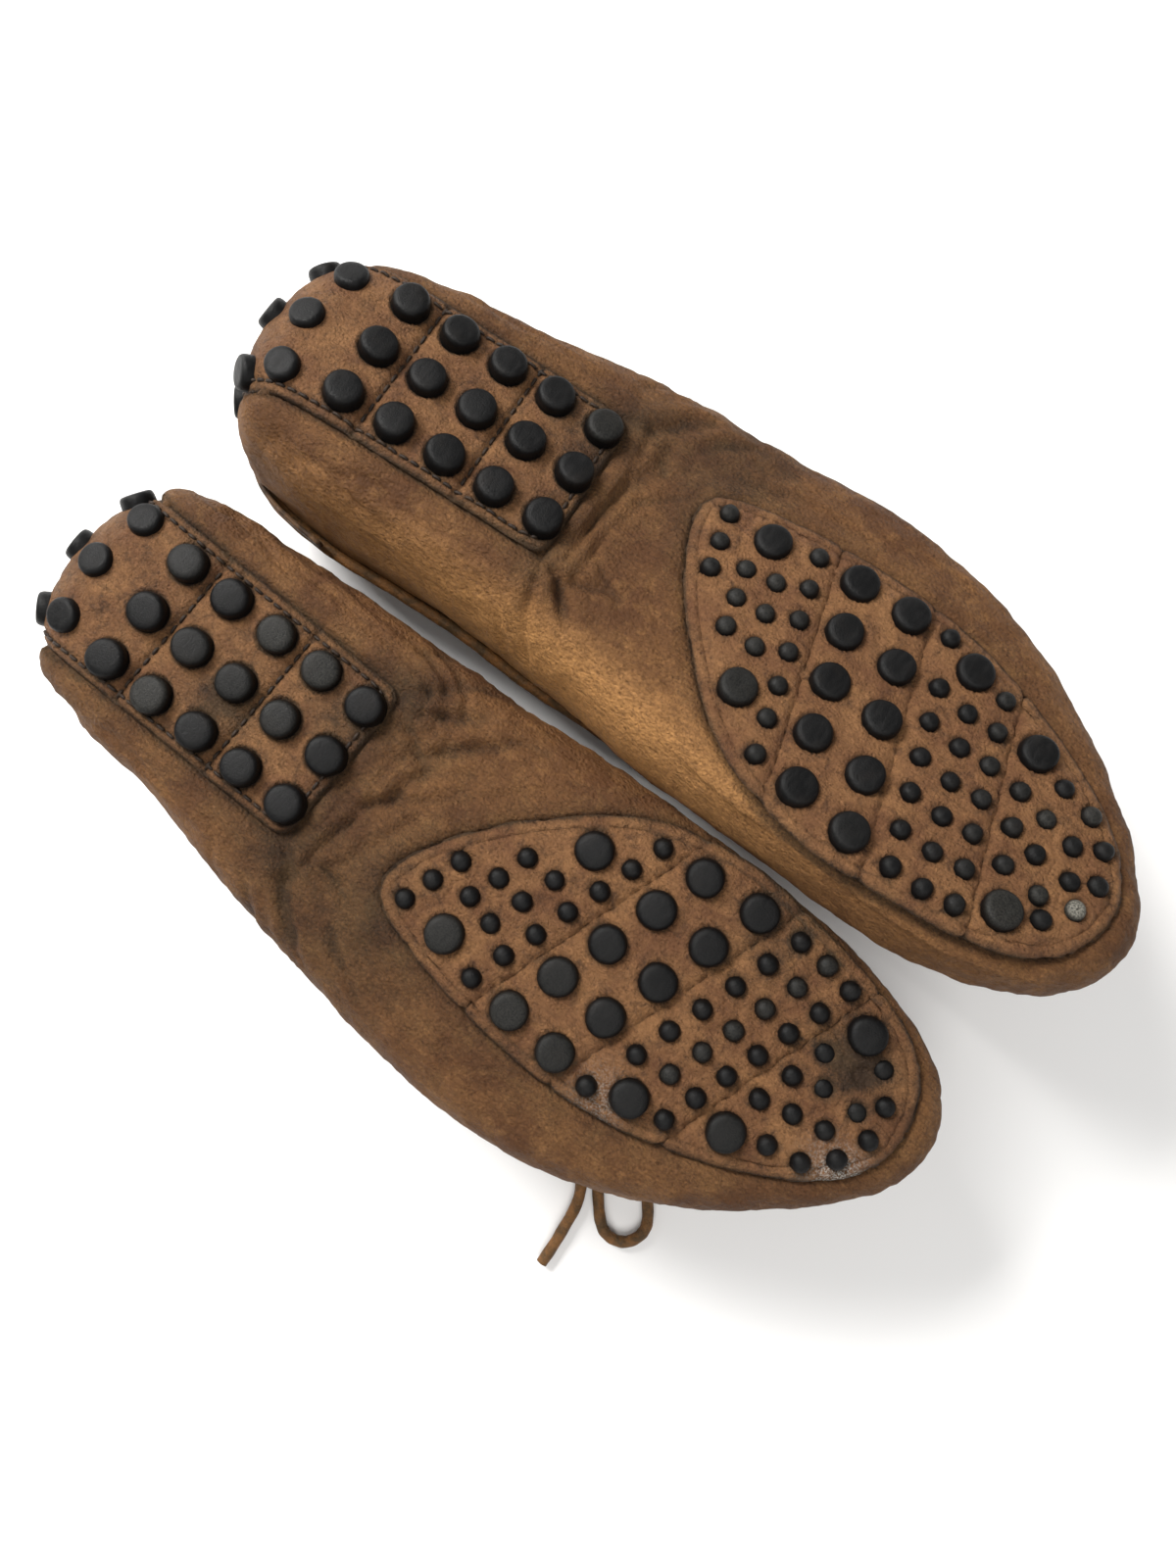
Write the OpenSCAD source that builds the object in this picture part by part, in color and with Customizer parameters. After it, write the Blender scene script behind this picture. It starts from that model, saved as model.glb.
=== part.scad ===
/* [Shoe] */
// Length of one shoe, heel to toe
shoe_length = 285; // [255:1:315]
// Thickness of the wrap leather
leather_t = 2; // [1.4:0.1:2.2]
// Thickness of the stitched sole patches
patch_t = 2.4; // [2:0.1:3]
// How far the rounded edge reaches in under the forefoot
edge_in = 12; // [10:1:13]
// How far it reaches in under the heel's back
heel_in = 20; // [17:1:21]
// Diameter of the collar binding
collar_d = 4.4; // [3.6:0.2:5]

/* [Rubber pebbles] */
// Diameter of the large pebbles
large_d = 10.8; // [9:0.2:11.6]
// Diameter of the small pebbles
small_d = 6; // [4.6:0.2:6.6]
// How far the large pebbles stand out of the patch
large_h = 4.2; // [3:0.2:5]
// How far the small pebbles stand out of the patch
small_h = 3.7; // [2.6:0.1:4.4]
// Distance between the heel rows
heel_pitch = 15.4; // [14.6:0.1:15.6]
// Distance between the heel columns
heel_spread = 16.6; // [15:0.2:17.4]
// Lean of the forefoot rows from straight across
row_slant = 17.5; // [16:0.5:18]

/* [Laces] */
// Diameter of the leather thong
thong_d = 3.6; // [2.8:0.2:4]

/* [Pair at rest] */
// Height of the left sole leather above the surface
sole_z = 62.5; // [62.5:0.1:64]
// Distance between the two flex lines, across the pair
pair_y = 102; // [102:0.5:108]
// Shift of the right shoe along the left one
pair_x = 3; // [0:1:5]
// Rise of the right flex line above the left one
pair_z = 0; // [0:0.5:4]
// Lean of the right shoe, inner side up
right_roll = 15; // [13:0.5:15]
// Rise of the right toe
right_pitch = 4.5; // [4:0.5:6]
// Turn of the right shoe away from the left one
right_yaw = 1.5; // [1:0.5:3]
// Bend that the right shoe rests with
right_bend = 8; // [6:1:12]
// Swing of the right heel towards the left shoe, across the waist
right_swing = 8; // [5:1:9]

/* [Hidden] */

// The pair is centred on the origin with these offsets.
centre_x = -141.64;
centre_y = -49.2;

// Every length of the pattern below is written for a 285 mm shoe.
size = shoe_length / 285;
flex_x = 107.5;
split_gap = 0.6;
base_t = 1;
pocket_in = 3;
fit = 0.4;

tan_leather = [0.69, 0.49, 0.31];
patch_leather = [0.49, 0.31, 0.20];
dark_leather = [0.30, 0.20, 0.13];
rubber = [0.14, 0.15, 0.17];
lining = [0.62, 0.50, 0.38];
thong = [0.42, 0.30, 0.17];

// One row of the last: outline x and y, the point it leans in to x and y, height and inward lean
// of the top edge, and how much of the resting bend the row takes up.
REAR = [
  [flex_x - split_gap / 2, 44, 107, 0, 49, 8, 1],
  [86, 42, 86, 1, 49, 8, 0.4],
  [62, 40, 63, 2, 51, 7, 0],
  [37, 38, 45, 3, 54, 6, 0],
  [14, 32, 35, 3, 57, 6, 0],
  [3, 19, 30, 3, 59, 6, 0],
  [0, 2, 28, 2, 60, 6, 0],
  [3, -15, 30, 1, 59, 6, 0],
  [14, -29, 35, 1, 57, 6, 0],
  [37, -36, 45, 1, 54, 6, 0],
  [62, -40, 63, 0, 51, 7, 0],
  [86, -45, 86, -1, 49, 8, 0.4],
  [flex_x - split_gap / 2, -49, 107, -2, 49, 8, 1]
];
FORE = [
  [flex_x + split_gap / 2, -49, 108, -2, 49, 8, 0],
  [128, -52, 128, 0, 52, 12, 0],
  [150, -55, 150, 1, 56, 19, 0],
  [175, -56, 172, 1, 51, 24, 0],
  [200, -53, 195, 2, 45, 24, 0],
  [224, -45, 212, 4, 40, 21, 0],
  [247, -32, 226, 8, 36, 17, 0],
  [268, -14, 234, 11, 33, 14, 0],
  [281, 3, 238, 13, 31, 12, 0],
  [285, 16, 240, 15, 30, 12, 0],
  [281, 28, 238, 17, 31, 12, 0],
  [269, 39, 232, 18, 33, 14, 0],
  [248, 47, 222, 16, 36, 18, 0],
  [224, 50, 208, 10, 40, 21, 0],
  [198, 50, 192, 5, 45, 23, 0],
  [172, 49, 170, 2, 51, 23, 0],
  [149, 47.5, 149, 1, 56, 18, 0],
  [128, 45, 128, 0, 52, 12, 0],
  [flex_x + split_gap / 2, 44, 108, 0, 49, 8, 0]
];

// Sole patches, as points of a smooth outline.
HEEL_PATCH = [
  [98, 24], [80, 26], [50, 26], [31, 24], [23, 16], [21.5, 0], [23, -16], [31, -24],
  [50, -26], [80, -26], [98, -24]
];
FORE_PATCH = [
  [127, -19], [146, -26], [166, -29], [190, -30], [214, -27], [238, -19], [257, -9], [270, 4],
  [273, 17], [266, 33], [249, 42], [226, 46], [202, 48], [180, 44], [165, 37], [151, 25],
  [139, 12], [128, -5]
];

// Forefoot pebbles by panel: first x and y, step along the slant, count, and whether large.
PANELS = [
  [[133, -16, 8.8, 3, 0], [146, -5, 9.1, 3, 0], [154.5, -7, 10.1, 3, 0],
   [159.5, -21, 10.1, 7, 0], [147, -16.5, 0, 1, 1], [164, 25, 0, 1, 1]],
  [[172.5, -21.5, 15.5, 5, 1], [188.5, -22.5, 16.2, 5, 1]],
  [[200.5, -24, 0, 1, 0], [205.5, -9.5, 10.4, 6, 0], [215.5, -8, 10, 6, 0],
   [221.5, -18, 9.8, 7, 0], [211, -19.5, 0, 1, 1]],
  [[237.5, 1.5, 10.4, 3, 0], [249, 14, 0, 1, 0], [236, -10.5, 0, 1, 1], [249.5, 32, 0, 1, 1]]
];
// Toe pebbles in arcs: centre x and y, radius, first angle, step and count.
TOE_ARCS = [[247, 12.5, 19, -92, 29, 6], [249, 14, 10.5, -104, 53.5, 4]];
// Stitch lines between the forefoot panels, where they cross the shoe's axis.
FORE_LINES = [90, 172, 202, 232, 300];
// Heel panels: rows in each.
HEEL_ROWS = [[0, 0], [1, 2], [3, 4]];
heel_first = 31;
// Pebble rows on the heel's back: place on the wall, and how many rows of the last apart.
STUD_ROWS = [[0.25, 2.8], [0.7, 2.3], [1.08, 2.2], [1.4, 2.2]];

// Laces as hand-laid points: x and y in the shoe's frame, and the height of the thong's middle
// above the surface that the pair lies on.
LEFT_OUTER_TAIL = [
  [177, -6, 3], [186, -17, 2.6], [200, -32, 2.4], [215, -45, 2.4], [226, -58, 2.4],
  [229, -71, 2.4], [230, -82, 2.4]
];
LEFT_OUTER_LOOP = [
  [183, -7, 3.4], [193, -15.5, 3], [204, -26, 2.6], [216.9, -39.9, 2.4], [227.7, -51.7, 2.4],
  [235.85, -60.5, 2.4], [241, -62.9, 2.4], [246.3, -61, 2.4], [248.7, -55.8, 2.4],
  [246.75, -50.5, 2.4], [238.6, -41.7, 2.4], [227.8, -29.9, 2.6], [213, -15.5, 3.2],
  [198, -5, 3.6], [185, -2, 3.8]
];
LEFT_INNER_TAIL = [
  [177, 6, 3], [181, 19, 2.6], [188, 32, 2.4], [200, 41, 2.4], [214, 44, 2.4], [227, 40, 2.4]
];
LEFT_INNER_LOOP = [
  [183, 7, 3.4], [191, 17, 2.8], [200, 26.5, 2.4], [209.5, 33.3, 2.4], [214.9, 34.8, 2.4],
  [219.8, 32, 2.4], [221.3, 26.6, 2.4], [218.5, 21.7, 2.4], [209, 14.4, 2.6], [198, 7.5, 3.2],
  [185, 2.5, 3.8]
];

function unit(v) = v / norm(v);
function spline(a, b, c, d, t) =
  (2 * b + (c - a) * t + (2 * a - 5 * b + 4 * c - d) * t * t
   + (3 * b - a - 3 * c + d) * t * t * t) / 2;
// A smooth open curve through the rows of a list, with k steps between two rows.
function smooth(p, k) = [
  for (i = [0 : len(p) - 2])
    for (s = [0 : k - 1])
      spline(p[max(i - 1, 0)], p[i], p[i + 1], p[min(i + 2, len(p) - 1)], s / k),
  p[len(p) - 1]
];
// The same through a closed list of points.
function smooth_ring(p, k) = [
  for (i = [0 : len(p) - 1])
    for (s = [0 : k - 1])
      spline(p[(i + len(p) - 1) % len(p)], p[i], p[(i + 1) % len(p)], p[(i + 2) % len(p)], s / k)
];
function bezier(a, b, c, d, t) =
  a * pow(1 - t, 3) + 3 * b * t * pow(1 - t, 2) + 3 * c * t * t * (1 - t) + d * t * t * t;

// The wall's profile: v = 0 on the flat sole, 1 at the widest place, 2 at the top edge.
function widest(row) = 10 + row[4] * 0.17;
function reach(row) = edge_in + max(0, row[4] - 50) * (heel_in - edge_in) / 10;
function profile(row, v) =
  let (w = widest(row), e = reach(row), top = row[4], lean = row[5])
  v <= 1
    ? bezier([e, 0], [e * 0.3, 0], [0, w * 0.3], [0, w], v)
    : bezier([0, w], [0, w + (top - w) * 0.5], [lean * 0.45, top - (top - w) * 0.25],
             [lean, top], v - 1);
function profile_in(row, v) =
  let (a = profile(row, max(v - 0.02, 0)), b = profile(row, min(v + 0.02, 2)), t = unit(b - a))
  [t[1], -t[0]];
// A point of the shoe: on row, at v, set in from the outer face by d. A shoe that rests bent is
// sheared at the flex line, so that its two halves meet there.
function skin(row, v, d, bend) =
  let (
    q = profile(row, v) + profile_in(row, v) * d,
    lean = unit([row[2] - row[0], row[3] - row[1]]),
    y = (row[1] + lean[1] * q[0]) * size,
    swing = bend > 0 ? right_swing : 0
  )
  [(row[0] + lean[0] * q[0]) * size + row[6] * (q[1] * tan(bend) - y * tan(swing)), y, q[1]];

// A row of the last at a place between two rows.
function row_between(rows, i) =
  rows[floor(i)] + (rows[min(floor(i) + 1, len(rows) - 1)] - rows[floor(i)]) * (i - floor(i));

rear_rows = smooth(REAR, 2);
fore_rows = smooth(FORE, 2);
wall_steps = [for (i = [0 : 10]) i / 5];
// Where the opening ends and the apron begins, as a row of fore_rows.
throat = 4;
fore_last = len(fore_rows) - 1;
fore_mid = fore_last / 2;

function flat(a) = [for (r = a) for (p = r) p];
function strip_faces(a, b, c, d) = [[a, b, c], [a, c, d]];

// A closed sheet between an outer and an inner grid of points.
module sheet(outer, inner) {
  n = len(outer);
  m = len(outer[0]);
  e = m - 1;
  k = n * m;
  polyhedron(
    points = concat(flat(outer), flat(inner)),
    faces = flat(flat([
      [for (i = [0 : n - 2]) for (j = [0 : m - 2])
        strip_faces(i * m + j, i * m + j + 1, i * m + m + j + 1, i * m + m + j)],
      [for (i = [0 : n - 2]) for (j = [0 : m - 2])
        strip_faces(k + i * m + j, k + i * m + m + j, k + i * m + m + j + 1, k + i * m + j + 1)],
      [for (j = [0 : m - 2]) strip_faces(j, k + j, k + j + 1, j + 1)],
      [for (j = [0 : m - 2])
        let (a = (n - 1) * m + j) strip_faces(a, a + 1, k + a + 1, k + a)],
      [for (i = [0 : n - 2])
        let (a = i * m) strip_faces(a, a + m, k + a + m, k + a)],
      [for (i = [0 : n - 2])
        let (a = i * m + e) strip_faces(a, k + a, k + a + m, a + m)]
    ]))
  );
}

// Half a shoe: a wall that turns in under the foot, closed across the sole.
module half_shell(rows, bend) {
  outer = [for (r = rows) [for (v = wall_steps) skin(r, v, 0, bend)]];
  inner = [for (r = rows) [for (v = wall_steps) skin(r, v, leather_t, bend)]];
  n = len(rows);
  m = len(wall_steps);
  e = m - 1;
  k = n * m;
  mid = (n - 1) / 2;
  last = (n - 1) * m;
  polyhedron(
    points = concat(flat(outer), flat(inner)),
    faces = flat(flat([
      [for (i = [0 : n - 2]) for (j = [0 : m - 2])
        strip_faces(i * m + j, i * m + j + 1, i * m + m + j + 1, i * m + m + j)],
      [for (i = [0 : n - 2]) for (j = [0 : m - 2])
        strip_faces(k + i * m + j, k + i * m + m + j, k + i * m + m + j + 1, k + i * m + j + 1)],
      [for (j = [0 : m - 2]) strip_faces(j, k + j, k + j + 1, j + 1)],
      [for (j = [0 : m - 2]) let (a = last + j) strip_faces(a, a + 1, k + a + 1, k + a)],
      [for (i = [0 : n - 2])
        let (a = i * m + e) strip_faces(a, k + a, k + a + m, a + m)],
      [for (i = [0 : mid - 2])
        strip_faces(i * m, (i + 1) * m, (n - 2 - i) * m, (n - 1 - i) * m)],
      [for (i = [0 : mid - 2])
        strip_faces(k + i * m, k + (n - 1 - i) * m, k + (n - 2 - i) * m, k + (i + 1) * m)],
      [strip_faces(0, last, k + last, k)],
      [[[(mid - 1) * m, mid * m, (mid + 1) * m],
        [k + (mid - 1) * m, k + (mid + 1) * m, k + mid * m]]]
    ]))
  );
}

// A round cord along a list of points.
module tube(path, d, sides = 8) {
  n = len(path);
  rings = [for (i = [0 : n - 1])
    let (
      t = unit(path[min(i + 1, n - 1)] - path[max(i - 1, 0)]),
      s = unit(cross(t, [0, 0, 1])),
      u = cross(s, t)
    )
    [for (a = [0 : sides - 1])
      path[i] + (s * cos(a * 360 / sides) + u * sin(a * 360 / sides)) * d / 2]];
  polyhedron(
    points = flat(rings),
    faces = concat(
      flat([for (i = [0 : n - 2]) for (a = [0 : sides - 1])
        let (b = (a + 1) % sides)
        strip_faces(i * sides + a, i * sides + b, i * sides + sides + b, i * sides + sides + a)]),
      [[for (a = [sides - 1 : -1 : 0]) a]],
      [[for (a = [0 : sides - 1]) (n - 1) * sides + a]]
    )
  );
}

module pebble(d, h) {
  rotate_extrude($fn = 24)
    polygon([[0, 0], [d / 2, 0], [d / 2, h - 1.3], [d / 2 - 0.4, h - 0.4], [d / 2 - 1.2, h],
             [0, h]]);
}

// A pebble that grows down out of a rubber sheet under the sole.
module sole_pebble(x, y, large) {
  d = large ? large_d : small_d;
  h = (large ? large_h : small_h) + patch_t - base_t / 2;
  translate([x * size, y * size, -base_t / 2])
    rotate([180, 0, 0])
      pebble(d, h);
}

module pebble_hole(x, y, large) {
  translate([x * size, y * size, -patch_t - 1])
    cylinder(d = (large ? large_d : small_d) + fit, h = patch_t + 2, $fn = 24);
}

// Runs its child's place through every forefoot pebble of a panel.
function panel_pebbles(k) = concat(
  [for (c = PANELS[k]) for (i = [0 : c[3] - 1])
    [c[0] + i * c[2] * sin(row_slant), c[1] + i * c[2] * cos(row_slant), c[4]]],
  k < 3 ? [] : [for (c = TOE_ARCS) for (i = [0 : c[5] - 1])
    [c[0] + c[2] * cos(c[3] + i * c[4]), c[1] + c[2] * sin(c[3] + i * c[4]), 0]]
);
function heel_pebbles(k) = [
  for (r = [HEEL_ROWS[k][0] : HEEL_ROWS[k][1]])
    for (c = [-1 : 1])
      [heel_first + r * heel_pitch, c * heel_spread, 1]
];

module slab(outline, low, high) {
  translate([0, 0, low])
    linear_extrude(high - low)
      polygon(outline * size);
}
// A closed outline, anticlockwise, drawn in by d.
function drawn_in(p, d) = [
  for (i = [0 : len(p) - 1])
    let (t = unit(p[(i + 1) % len(p)] - p[(i + len(p) - 1) % len(p)]))
    p[i] + [-t[1], t[0]] * d
];

module patch(outline, holes) {
  difference() {
    slab(smooth_ring(outline, 3), -patch_t, 0);
    slab(drawn_in(outline, pocket_in - fit), -base_t - 0.1, 1);
    for (p = holes)
      pebble_hole(p[0], p[1], p[2]);
  }
}

module fore_strip(k) {
  rotate([0, 0, -row_slant])
    translate([(FORE_LINES[k] * size + fit) * cos(row_slant), -150, -base_t - 1])
      cube([(FORE_LINES[k + 1] - FORE_LINES[k]) * size * cos(row_slant) - 2 * fit, 300,
            base_t + 2]);
}

// ---- the sub-parts of one shoe, in the shoe's own frame: toe along x, inner side along y, z up
// from the sole leather when the shoe is worn

module fore_wrap() {
  color(tan_leather)
    half_shell(fore_rows, 0);
}
module rear_wrap(bend) {
  color(tan_leather)
    half_shell(rear_rows, bend);
}
module heel_patch() {
  color(patch_leather)
    patch(HEEL_PATCH, flat([for (k = [0 : 2]) heel_pebbles(k)]));
}
module fore_patch() {
  color(patch_leather)
    patch(FORE_PATCH, flat([for (k = [0 : 3]) panel_pebbles(k)]));
}
module heel_tread(k) {
  from = (heel_first + (HEEL_ROWS[k][0] - 0.5) * heel_pitch) * size;
  to = (heel_first + (HEEL_ROWS[k][1] + 0.5) * heel_pitch) * size;
  color(rubber)
    union() {
      intersection() {
        slab(drawn_in(HEEL_PATCH, pocket_in), -base_t, 0);
        translate([from + fit, -50, -base_t - 1])
          cube([to - from - 2 * fit, 100, base_t + 2]);
      }
      for (p = heel_pebbles(k))
        sole_pebble(p[0], p[1], p[2]);
    }
}
module fore_tread(k) {
  color(rubber)
    union() {
      intersection() {
        slab(drawn_in(FORE_PATCH, pocket_in), -base_t, 0);
        fore_strip(k);
      }
      for (p = panel_pebbles(k))
        sole_pebble(p[0], p[1], p[2]);
    }
}

// A piece of leather laid on the outside or the inside of the heel, over some of the wall's steps.
module heel_piece(first, last, steps, out, in) {
  sheet(
    [for (i = [first : last]) [for (v = steps) skin(rear_rows[i], v, out, 0)]],
    [for (i = [first : last]) [for (v = steps) skin(rear_rows[i], v, in, 0)]]
  );
}
module heel_strip() {
  color(patch_leather)
    heel_piece(9, 15, [for (i = [0 : 8]) wall_steps[i]], -1.5, -0.05);
}
module heel_band() {
  color(dark_leather)
    heel_piece(6, 18, [1.64, 1.8], -1.8, -0.3);
}
module heel_counter() {
  color(lining)
    heel_piece(5, 19, [for (i = [4 : 9]) wall_steps[i]], leather_t + 0.1, leather_t + 1.2);
}
module heel_studs() {
  color(rubber)
    for (row = STUD_ROWS)
      for (side = [-1 : 1]) {
        line = row_between(rear_rows, 12 + side * row[1]);
        at = skin(line, row[0], -0.6, 0);
        out = unit(skin(line, row[0], -2, 0) - at);
        translate(at)
          rotate([0, acos(out[2]), atan2(out[1], out[0])])
            pebble(large_d - 1, large_h + 0.6);
      }
}
module heel_sock(bend) {
  color(lining)
    slab([for (r = rear_rows) let (p = skin(r, 0, 0, bend)) [p[0], p[1]] / size],
         leather_t + 0.1, leather_t + 2.1);
}
module insole() {
  color(lining)
    slab([for (r = fore_rows) let (p = skin(r, 0, 0, 0)) [p[0], p[1]] / size],
         leather_t + 0.1, leather_t + 2.1);
}

// The top edge of a wrap, as a path for seams and bindings.
function top_edge(rows, from, to, v, d, bend) = [
  for (i = [from : to]) skin(rows[i], v, d, bend)
];
function apron_row(i, lift) =
  let (
    a = skin(fore_rows[i], 2, leather_t / 2, 0),
    b = skin(fore_rows[fore_last - i], 2, leather_t / 2, 0),
    crown = 1.5 + 0.05 * norm(b - a)
  )
  [for (w = [0 : 8]) a + (b - a) * w / 8 + [0, 0, crown * w * (8 - w) / 16 + lift]];
module apron() {
  color(tan_leather)
    sheet(
      [for (i = [throat : fore_mid - 1]) apron_row(i, 0.9)],
      [for (i = [throat : fore_mid - 1]) apron_row(i, -0.9)]
    );
}
module moc_seam() {
  color(tan_leather)
    tube(top_edge(fore_rows, throat, fore_last - throat, 2, leather_t / 2, 0), 3.8);
}
module rear_collar(bend) {
  color(dark_leather)
    tube(top_edge(rear_rows, 0, len(rear_rows) - 1, 2, leather_t / 2, bend), collar_d);
}
front_edge = concat(
  top_edge(fore_rows, 0, throat, 2, leather_t / 2, 0),
  [for (w = [1 : 7]) apron_row(throat, 0)[w] + [-8 * w * (8 - w) / 16, 0, 0.3]],
  top_edge(fore_rows, fore_last - throat, fore_last, 2, leather_t / 2, 0)
);
module front_collar() {
  color(dark_leather)
    tube(front_edge, collar_d);
}
// How far up the wall the thong runs.
lace_v = 1.89;
module rear_lace(bend) {
  color(thong)
    tube(top_edge(rear_rows, 0, len(rear_rows) - 1, lace_v, -thong_d / 2, bend), thong_d);
}
module front_lace() {
  color(thong)
    for (side = [0, 1])
      tube([for (i = [0 : throat + 1])
        skin(fore_rows[side ? fore_last - i : i], lace_v, -thong_d / 2, 0)], thong_d);
}

tongue_t = 1.6;
// Tongue rows from the free tip to the throat: x, half width, height.
TONGUE = [[115, 13, 57.2], [119, 20, 57], [128, 24, 56.4], [140, 25, 55.4], [153, 25, 54.2]];
function tongue_row(x, half, z) = [
  for (w = [-4 : 4]) [x * size, (half * w / 4 + 1) * size, z - 3 * w * w / 16]
];
module tongue() {
  color(tan_leather)
    sheet(
      [for (r = TONGUE) tongue_row(r[0], r[1], r[2])],
      [for (r = TONGUE) tongue_row(r[0], r[1], r[2] - tongue_t)]
    );
}

knot_x = 180;
knot_z = 59.6;
module lace_knot() {
  color(thong) {
    hull() {
      translate([knot_x * size, -4.5, knot_z]) sphere(d = 5.4, $fn = 16);
      translate([knot_x * size, 4.5, knot_z]) sphere(d = 5.4, $fn = 16);
    }
    translate([knot_x * size - 5, 0, knot_z])
      rotate([0, 90, 0])
        cylinder(d = 5, h = 10, $fn = 24);
  }
}
module left_lace(path) {
  color(thong)
    tube(smooth([for (p = path) [p[0] * size, p[1] * size, sole_z - p[2]]], 2), thong_d);
}

// ---- placing the shoes, soles up

module left_fore_place() {
  translate([centre_x, centre_y, sole_z])
    mirror([0, 0, 1])
      children();
}
module left_rear_place() {
  left_fore_place()
    children();
}
module right_fore_place() {
  translate([centre_x + flex_x * size + pair_x, centre_y + pair_y, sole_z + pair_z])
    rotate([-right_roll, -right_pitch, right_yaw])
      rotate([180, 0, 0])
        translate([-flex_x * size, 0, 0])
          children();
}
module right_rear_place() {
  right_fore_place()
    translate([flex_x * size, 0, 0])
      rotate([0, -right_bend, 0])
        rotate([0, 0, -right_swing])
          translate([-flex_x * size, 0, 0])
            children();
}

left_fore_place() fore_wrap();  // left_fore_wrap
left_fore_place() fore_patch();  // left_fore_patch
left_fore_place() fore_tread(0);  // left_fore_tread_1
left_fore_place() fore_tread(1);  // left_fore_tread_2
left_fore_place() fore_tread(2);  // left_fore_tread_3
left_fore_place() fore_tread(3);  // left_fore_tread_4
left_fore_place() insole();  // left_insole
left_fore_place() apron();  // left_apron
left_fore_place() moc_seam();  // left_moc_seam
left_fore_place() tongue();  // left_tongue
left_fore_place() front_collar();  // left_front_collar
left_fore_place() front_lace();  // left_front_lace
left_fore_place() lace_knot();  // left_lace_knot
left_fore_place() left_lace(LEFT_OUTER_LOOP);  // left_outer_loop
left_fore_place() left_lace(LEFT_INNER_LOOP);  // left_inner_loop
left_fore_place() left_lace(LEFT_OUTER_TAIL);  // left_outer_tail
left_fore_place() left_lace(LEFT_INNER_TAIL);  // left_inner_tail
left_rear_place() rear_wrap(0);  // left_rear_wrap
left_rear_place() heel_patch();  // left_heel_patch
left_rear_place() heel_tread(0);  // left_heel_tread_1
left_rear_place() heel_tread(1);  // left_heel_tread_2
left_rear_place() heel_tread(2);  // left_heel_tread_3
left_rear_place() heel_strip();  // left_heel_strip
left_rear_place() heel_studs();  // left_heel_studs
left_rear_place() heel_band();  // left_heel_band
left_rear_place() heel_counter();  // left_heel_counter
left_rear_place() heel_sock(0);  // left_heel_sock
left_rear_place() rear_collar(0);  // left_rear_collar
left_rear_place() rear_lace(0);  // left_rear_lace

right_fore_place() fore_wrap();  // right_fore_wrap
right_fore_place() fore_patch();  // right_fore_patch
right_fore_place() fore_tread(0);  // right_fore_tread_1
right_fore_place() fore_tread(1);  // right_fore_tread_2
right_fore_place() fore_tread(2);  // right_fore_tread_3
right_fore_place() fore_tread(3);  // right_fore_tread_4
right_fore_place() insole();  // right_insole
right_fore_place() apron();  // right_apron
right_fore_place() moc_seam();  // right_moc_seam
right_fore_place() tongue();  // right_tongue
right_fore_place() front_collar();  // right_front_collar
right_fore_place() front_lace();  // right_front_lace
right_fore_place() lace_knot();  // right_lace_knot
right_rear_place() rear_wrap(right_bend);  // right_rear_wrap
right_rear_place() heel_patch();  // right_heel_patch
right_rear_place() heel_tread(0);  // right_heel_tread_1
right_rear_place() heel_tread(1);  // right_heel_tread_2
right_rear_place() heel_tread(2);  // right_heel_tread_3
right_rear_place() heel_strip();  // right_heel_strip
right_rear_place() heel_studs();  // right_heel_studs
right_rear_place() heel_band();  // right_heel_band
right_rear_place() heel_counter();  // right_heel_counter
right_rear_place() heel_sock(right_bend);  // right_heel_sock
right_rear_place() rear_collar(right_bend);  // right_rear_collar
right_rear_place() rear_lace(right_bend);  // right_rear_lace
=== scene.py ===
"""A pair of worn driving moccasins, lying soles up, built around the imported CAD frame.

Shapes are written in each shoe's own frame in millimetres (toe along x, inner side along y,
z up when the shoe is worn, 0 on the sole leather) and placed in the row's frame by place().
"""

import math

import bpy
import numpy as np
from mathutils import Matrix, Vector, noise


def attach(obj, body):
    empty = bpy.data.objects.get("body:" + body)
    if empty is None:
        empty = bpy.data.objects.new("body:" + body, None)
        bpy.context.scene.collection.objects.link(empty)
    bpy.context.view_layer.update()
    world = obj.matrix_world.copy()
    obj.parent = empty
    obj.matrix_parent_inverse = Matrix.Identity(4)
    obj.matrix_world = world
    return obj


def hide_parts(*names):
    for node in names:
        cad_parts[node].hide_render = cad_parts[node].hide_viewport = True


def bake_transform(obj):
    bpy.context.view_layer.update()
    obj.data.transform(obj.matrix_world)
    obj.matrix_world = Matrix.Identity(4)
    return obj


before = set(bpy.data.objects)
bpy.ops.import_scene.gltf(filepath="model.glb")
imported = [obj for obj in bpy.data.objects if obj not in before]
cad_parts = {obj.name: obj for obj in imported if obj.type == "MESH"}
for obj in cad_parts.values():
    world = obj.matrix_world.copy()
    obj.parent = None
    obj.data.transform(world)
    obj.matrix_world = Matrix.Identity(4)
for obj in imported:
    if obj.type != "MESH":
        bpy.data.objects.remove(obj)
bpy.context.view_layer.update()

MM = 0.001
SIDES = ("left", "right")

# ---- the shoes' pattern, as in the CAD part -------------------------------------------------

FLEX_X = 107.5
EDGE_IN = 12.0
HEEL_IN = 20.0
LEATHER_T = 2.0
THONG_D = 3.6
COLLAR_D = 4.4
LARGE_D = 10.8
SMALL_D = 6.0
LARGE_H = 4.2
SMALL_H = 3.7
PATCH_T = 2.4
ROW_SLANT = math.radians(17.5)
HEEL_FIRST = 31.0
HEEL_PITCH = 15.4
HEEL_SPREAD = 16.6

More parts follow.
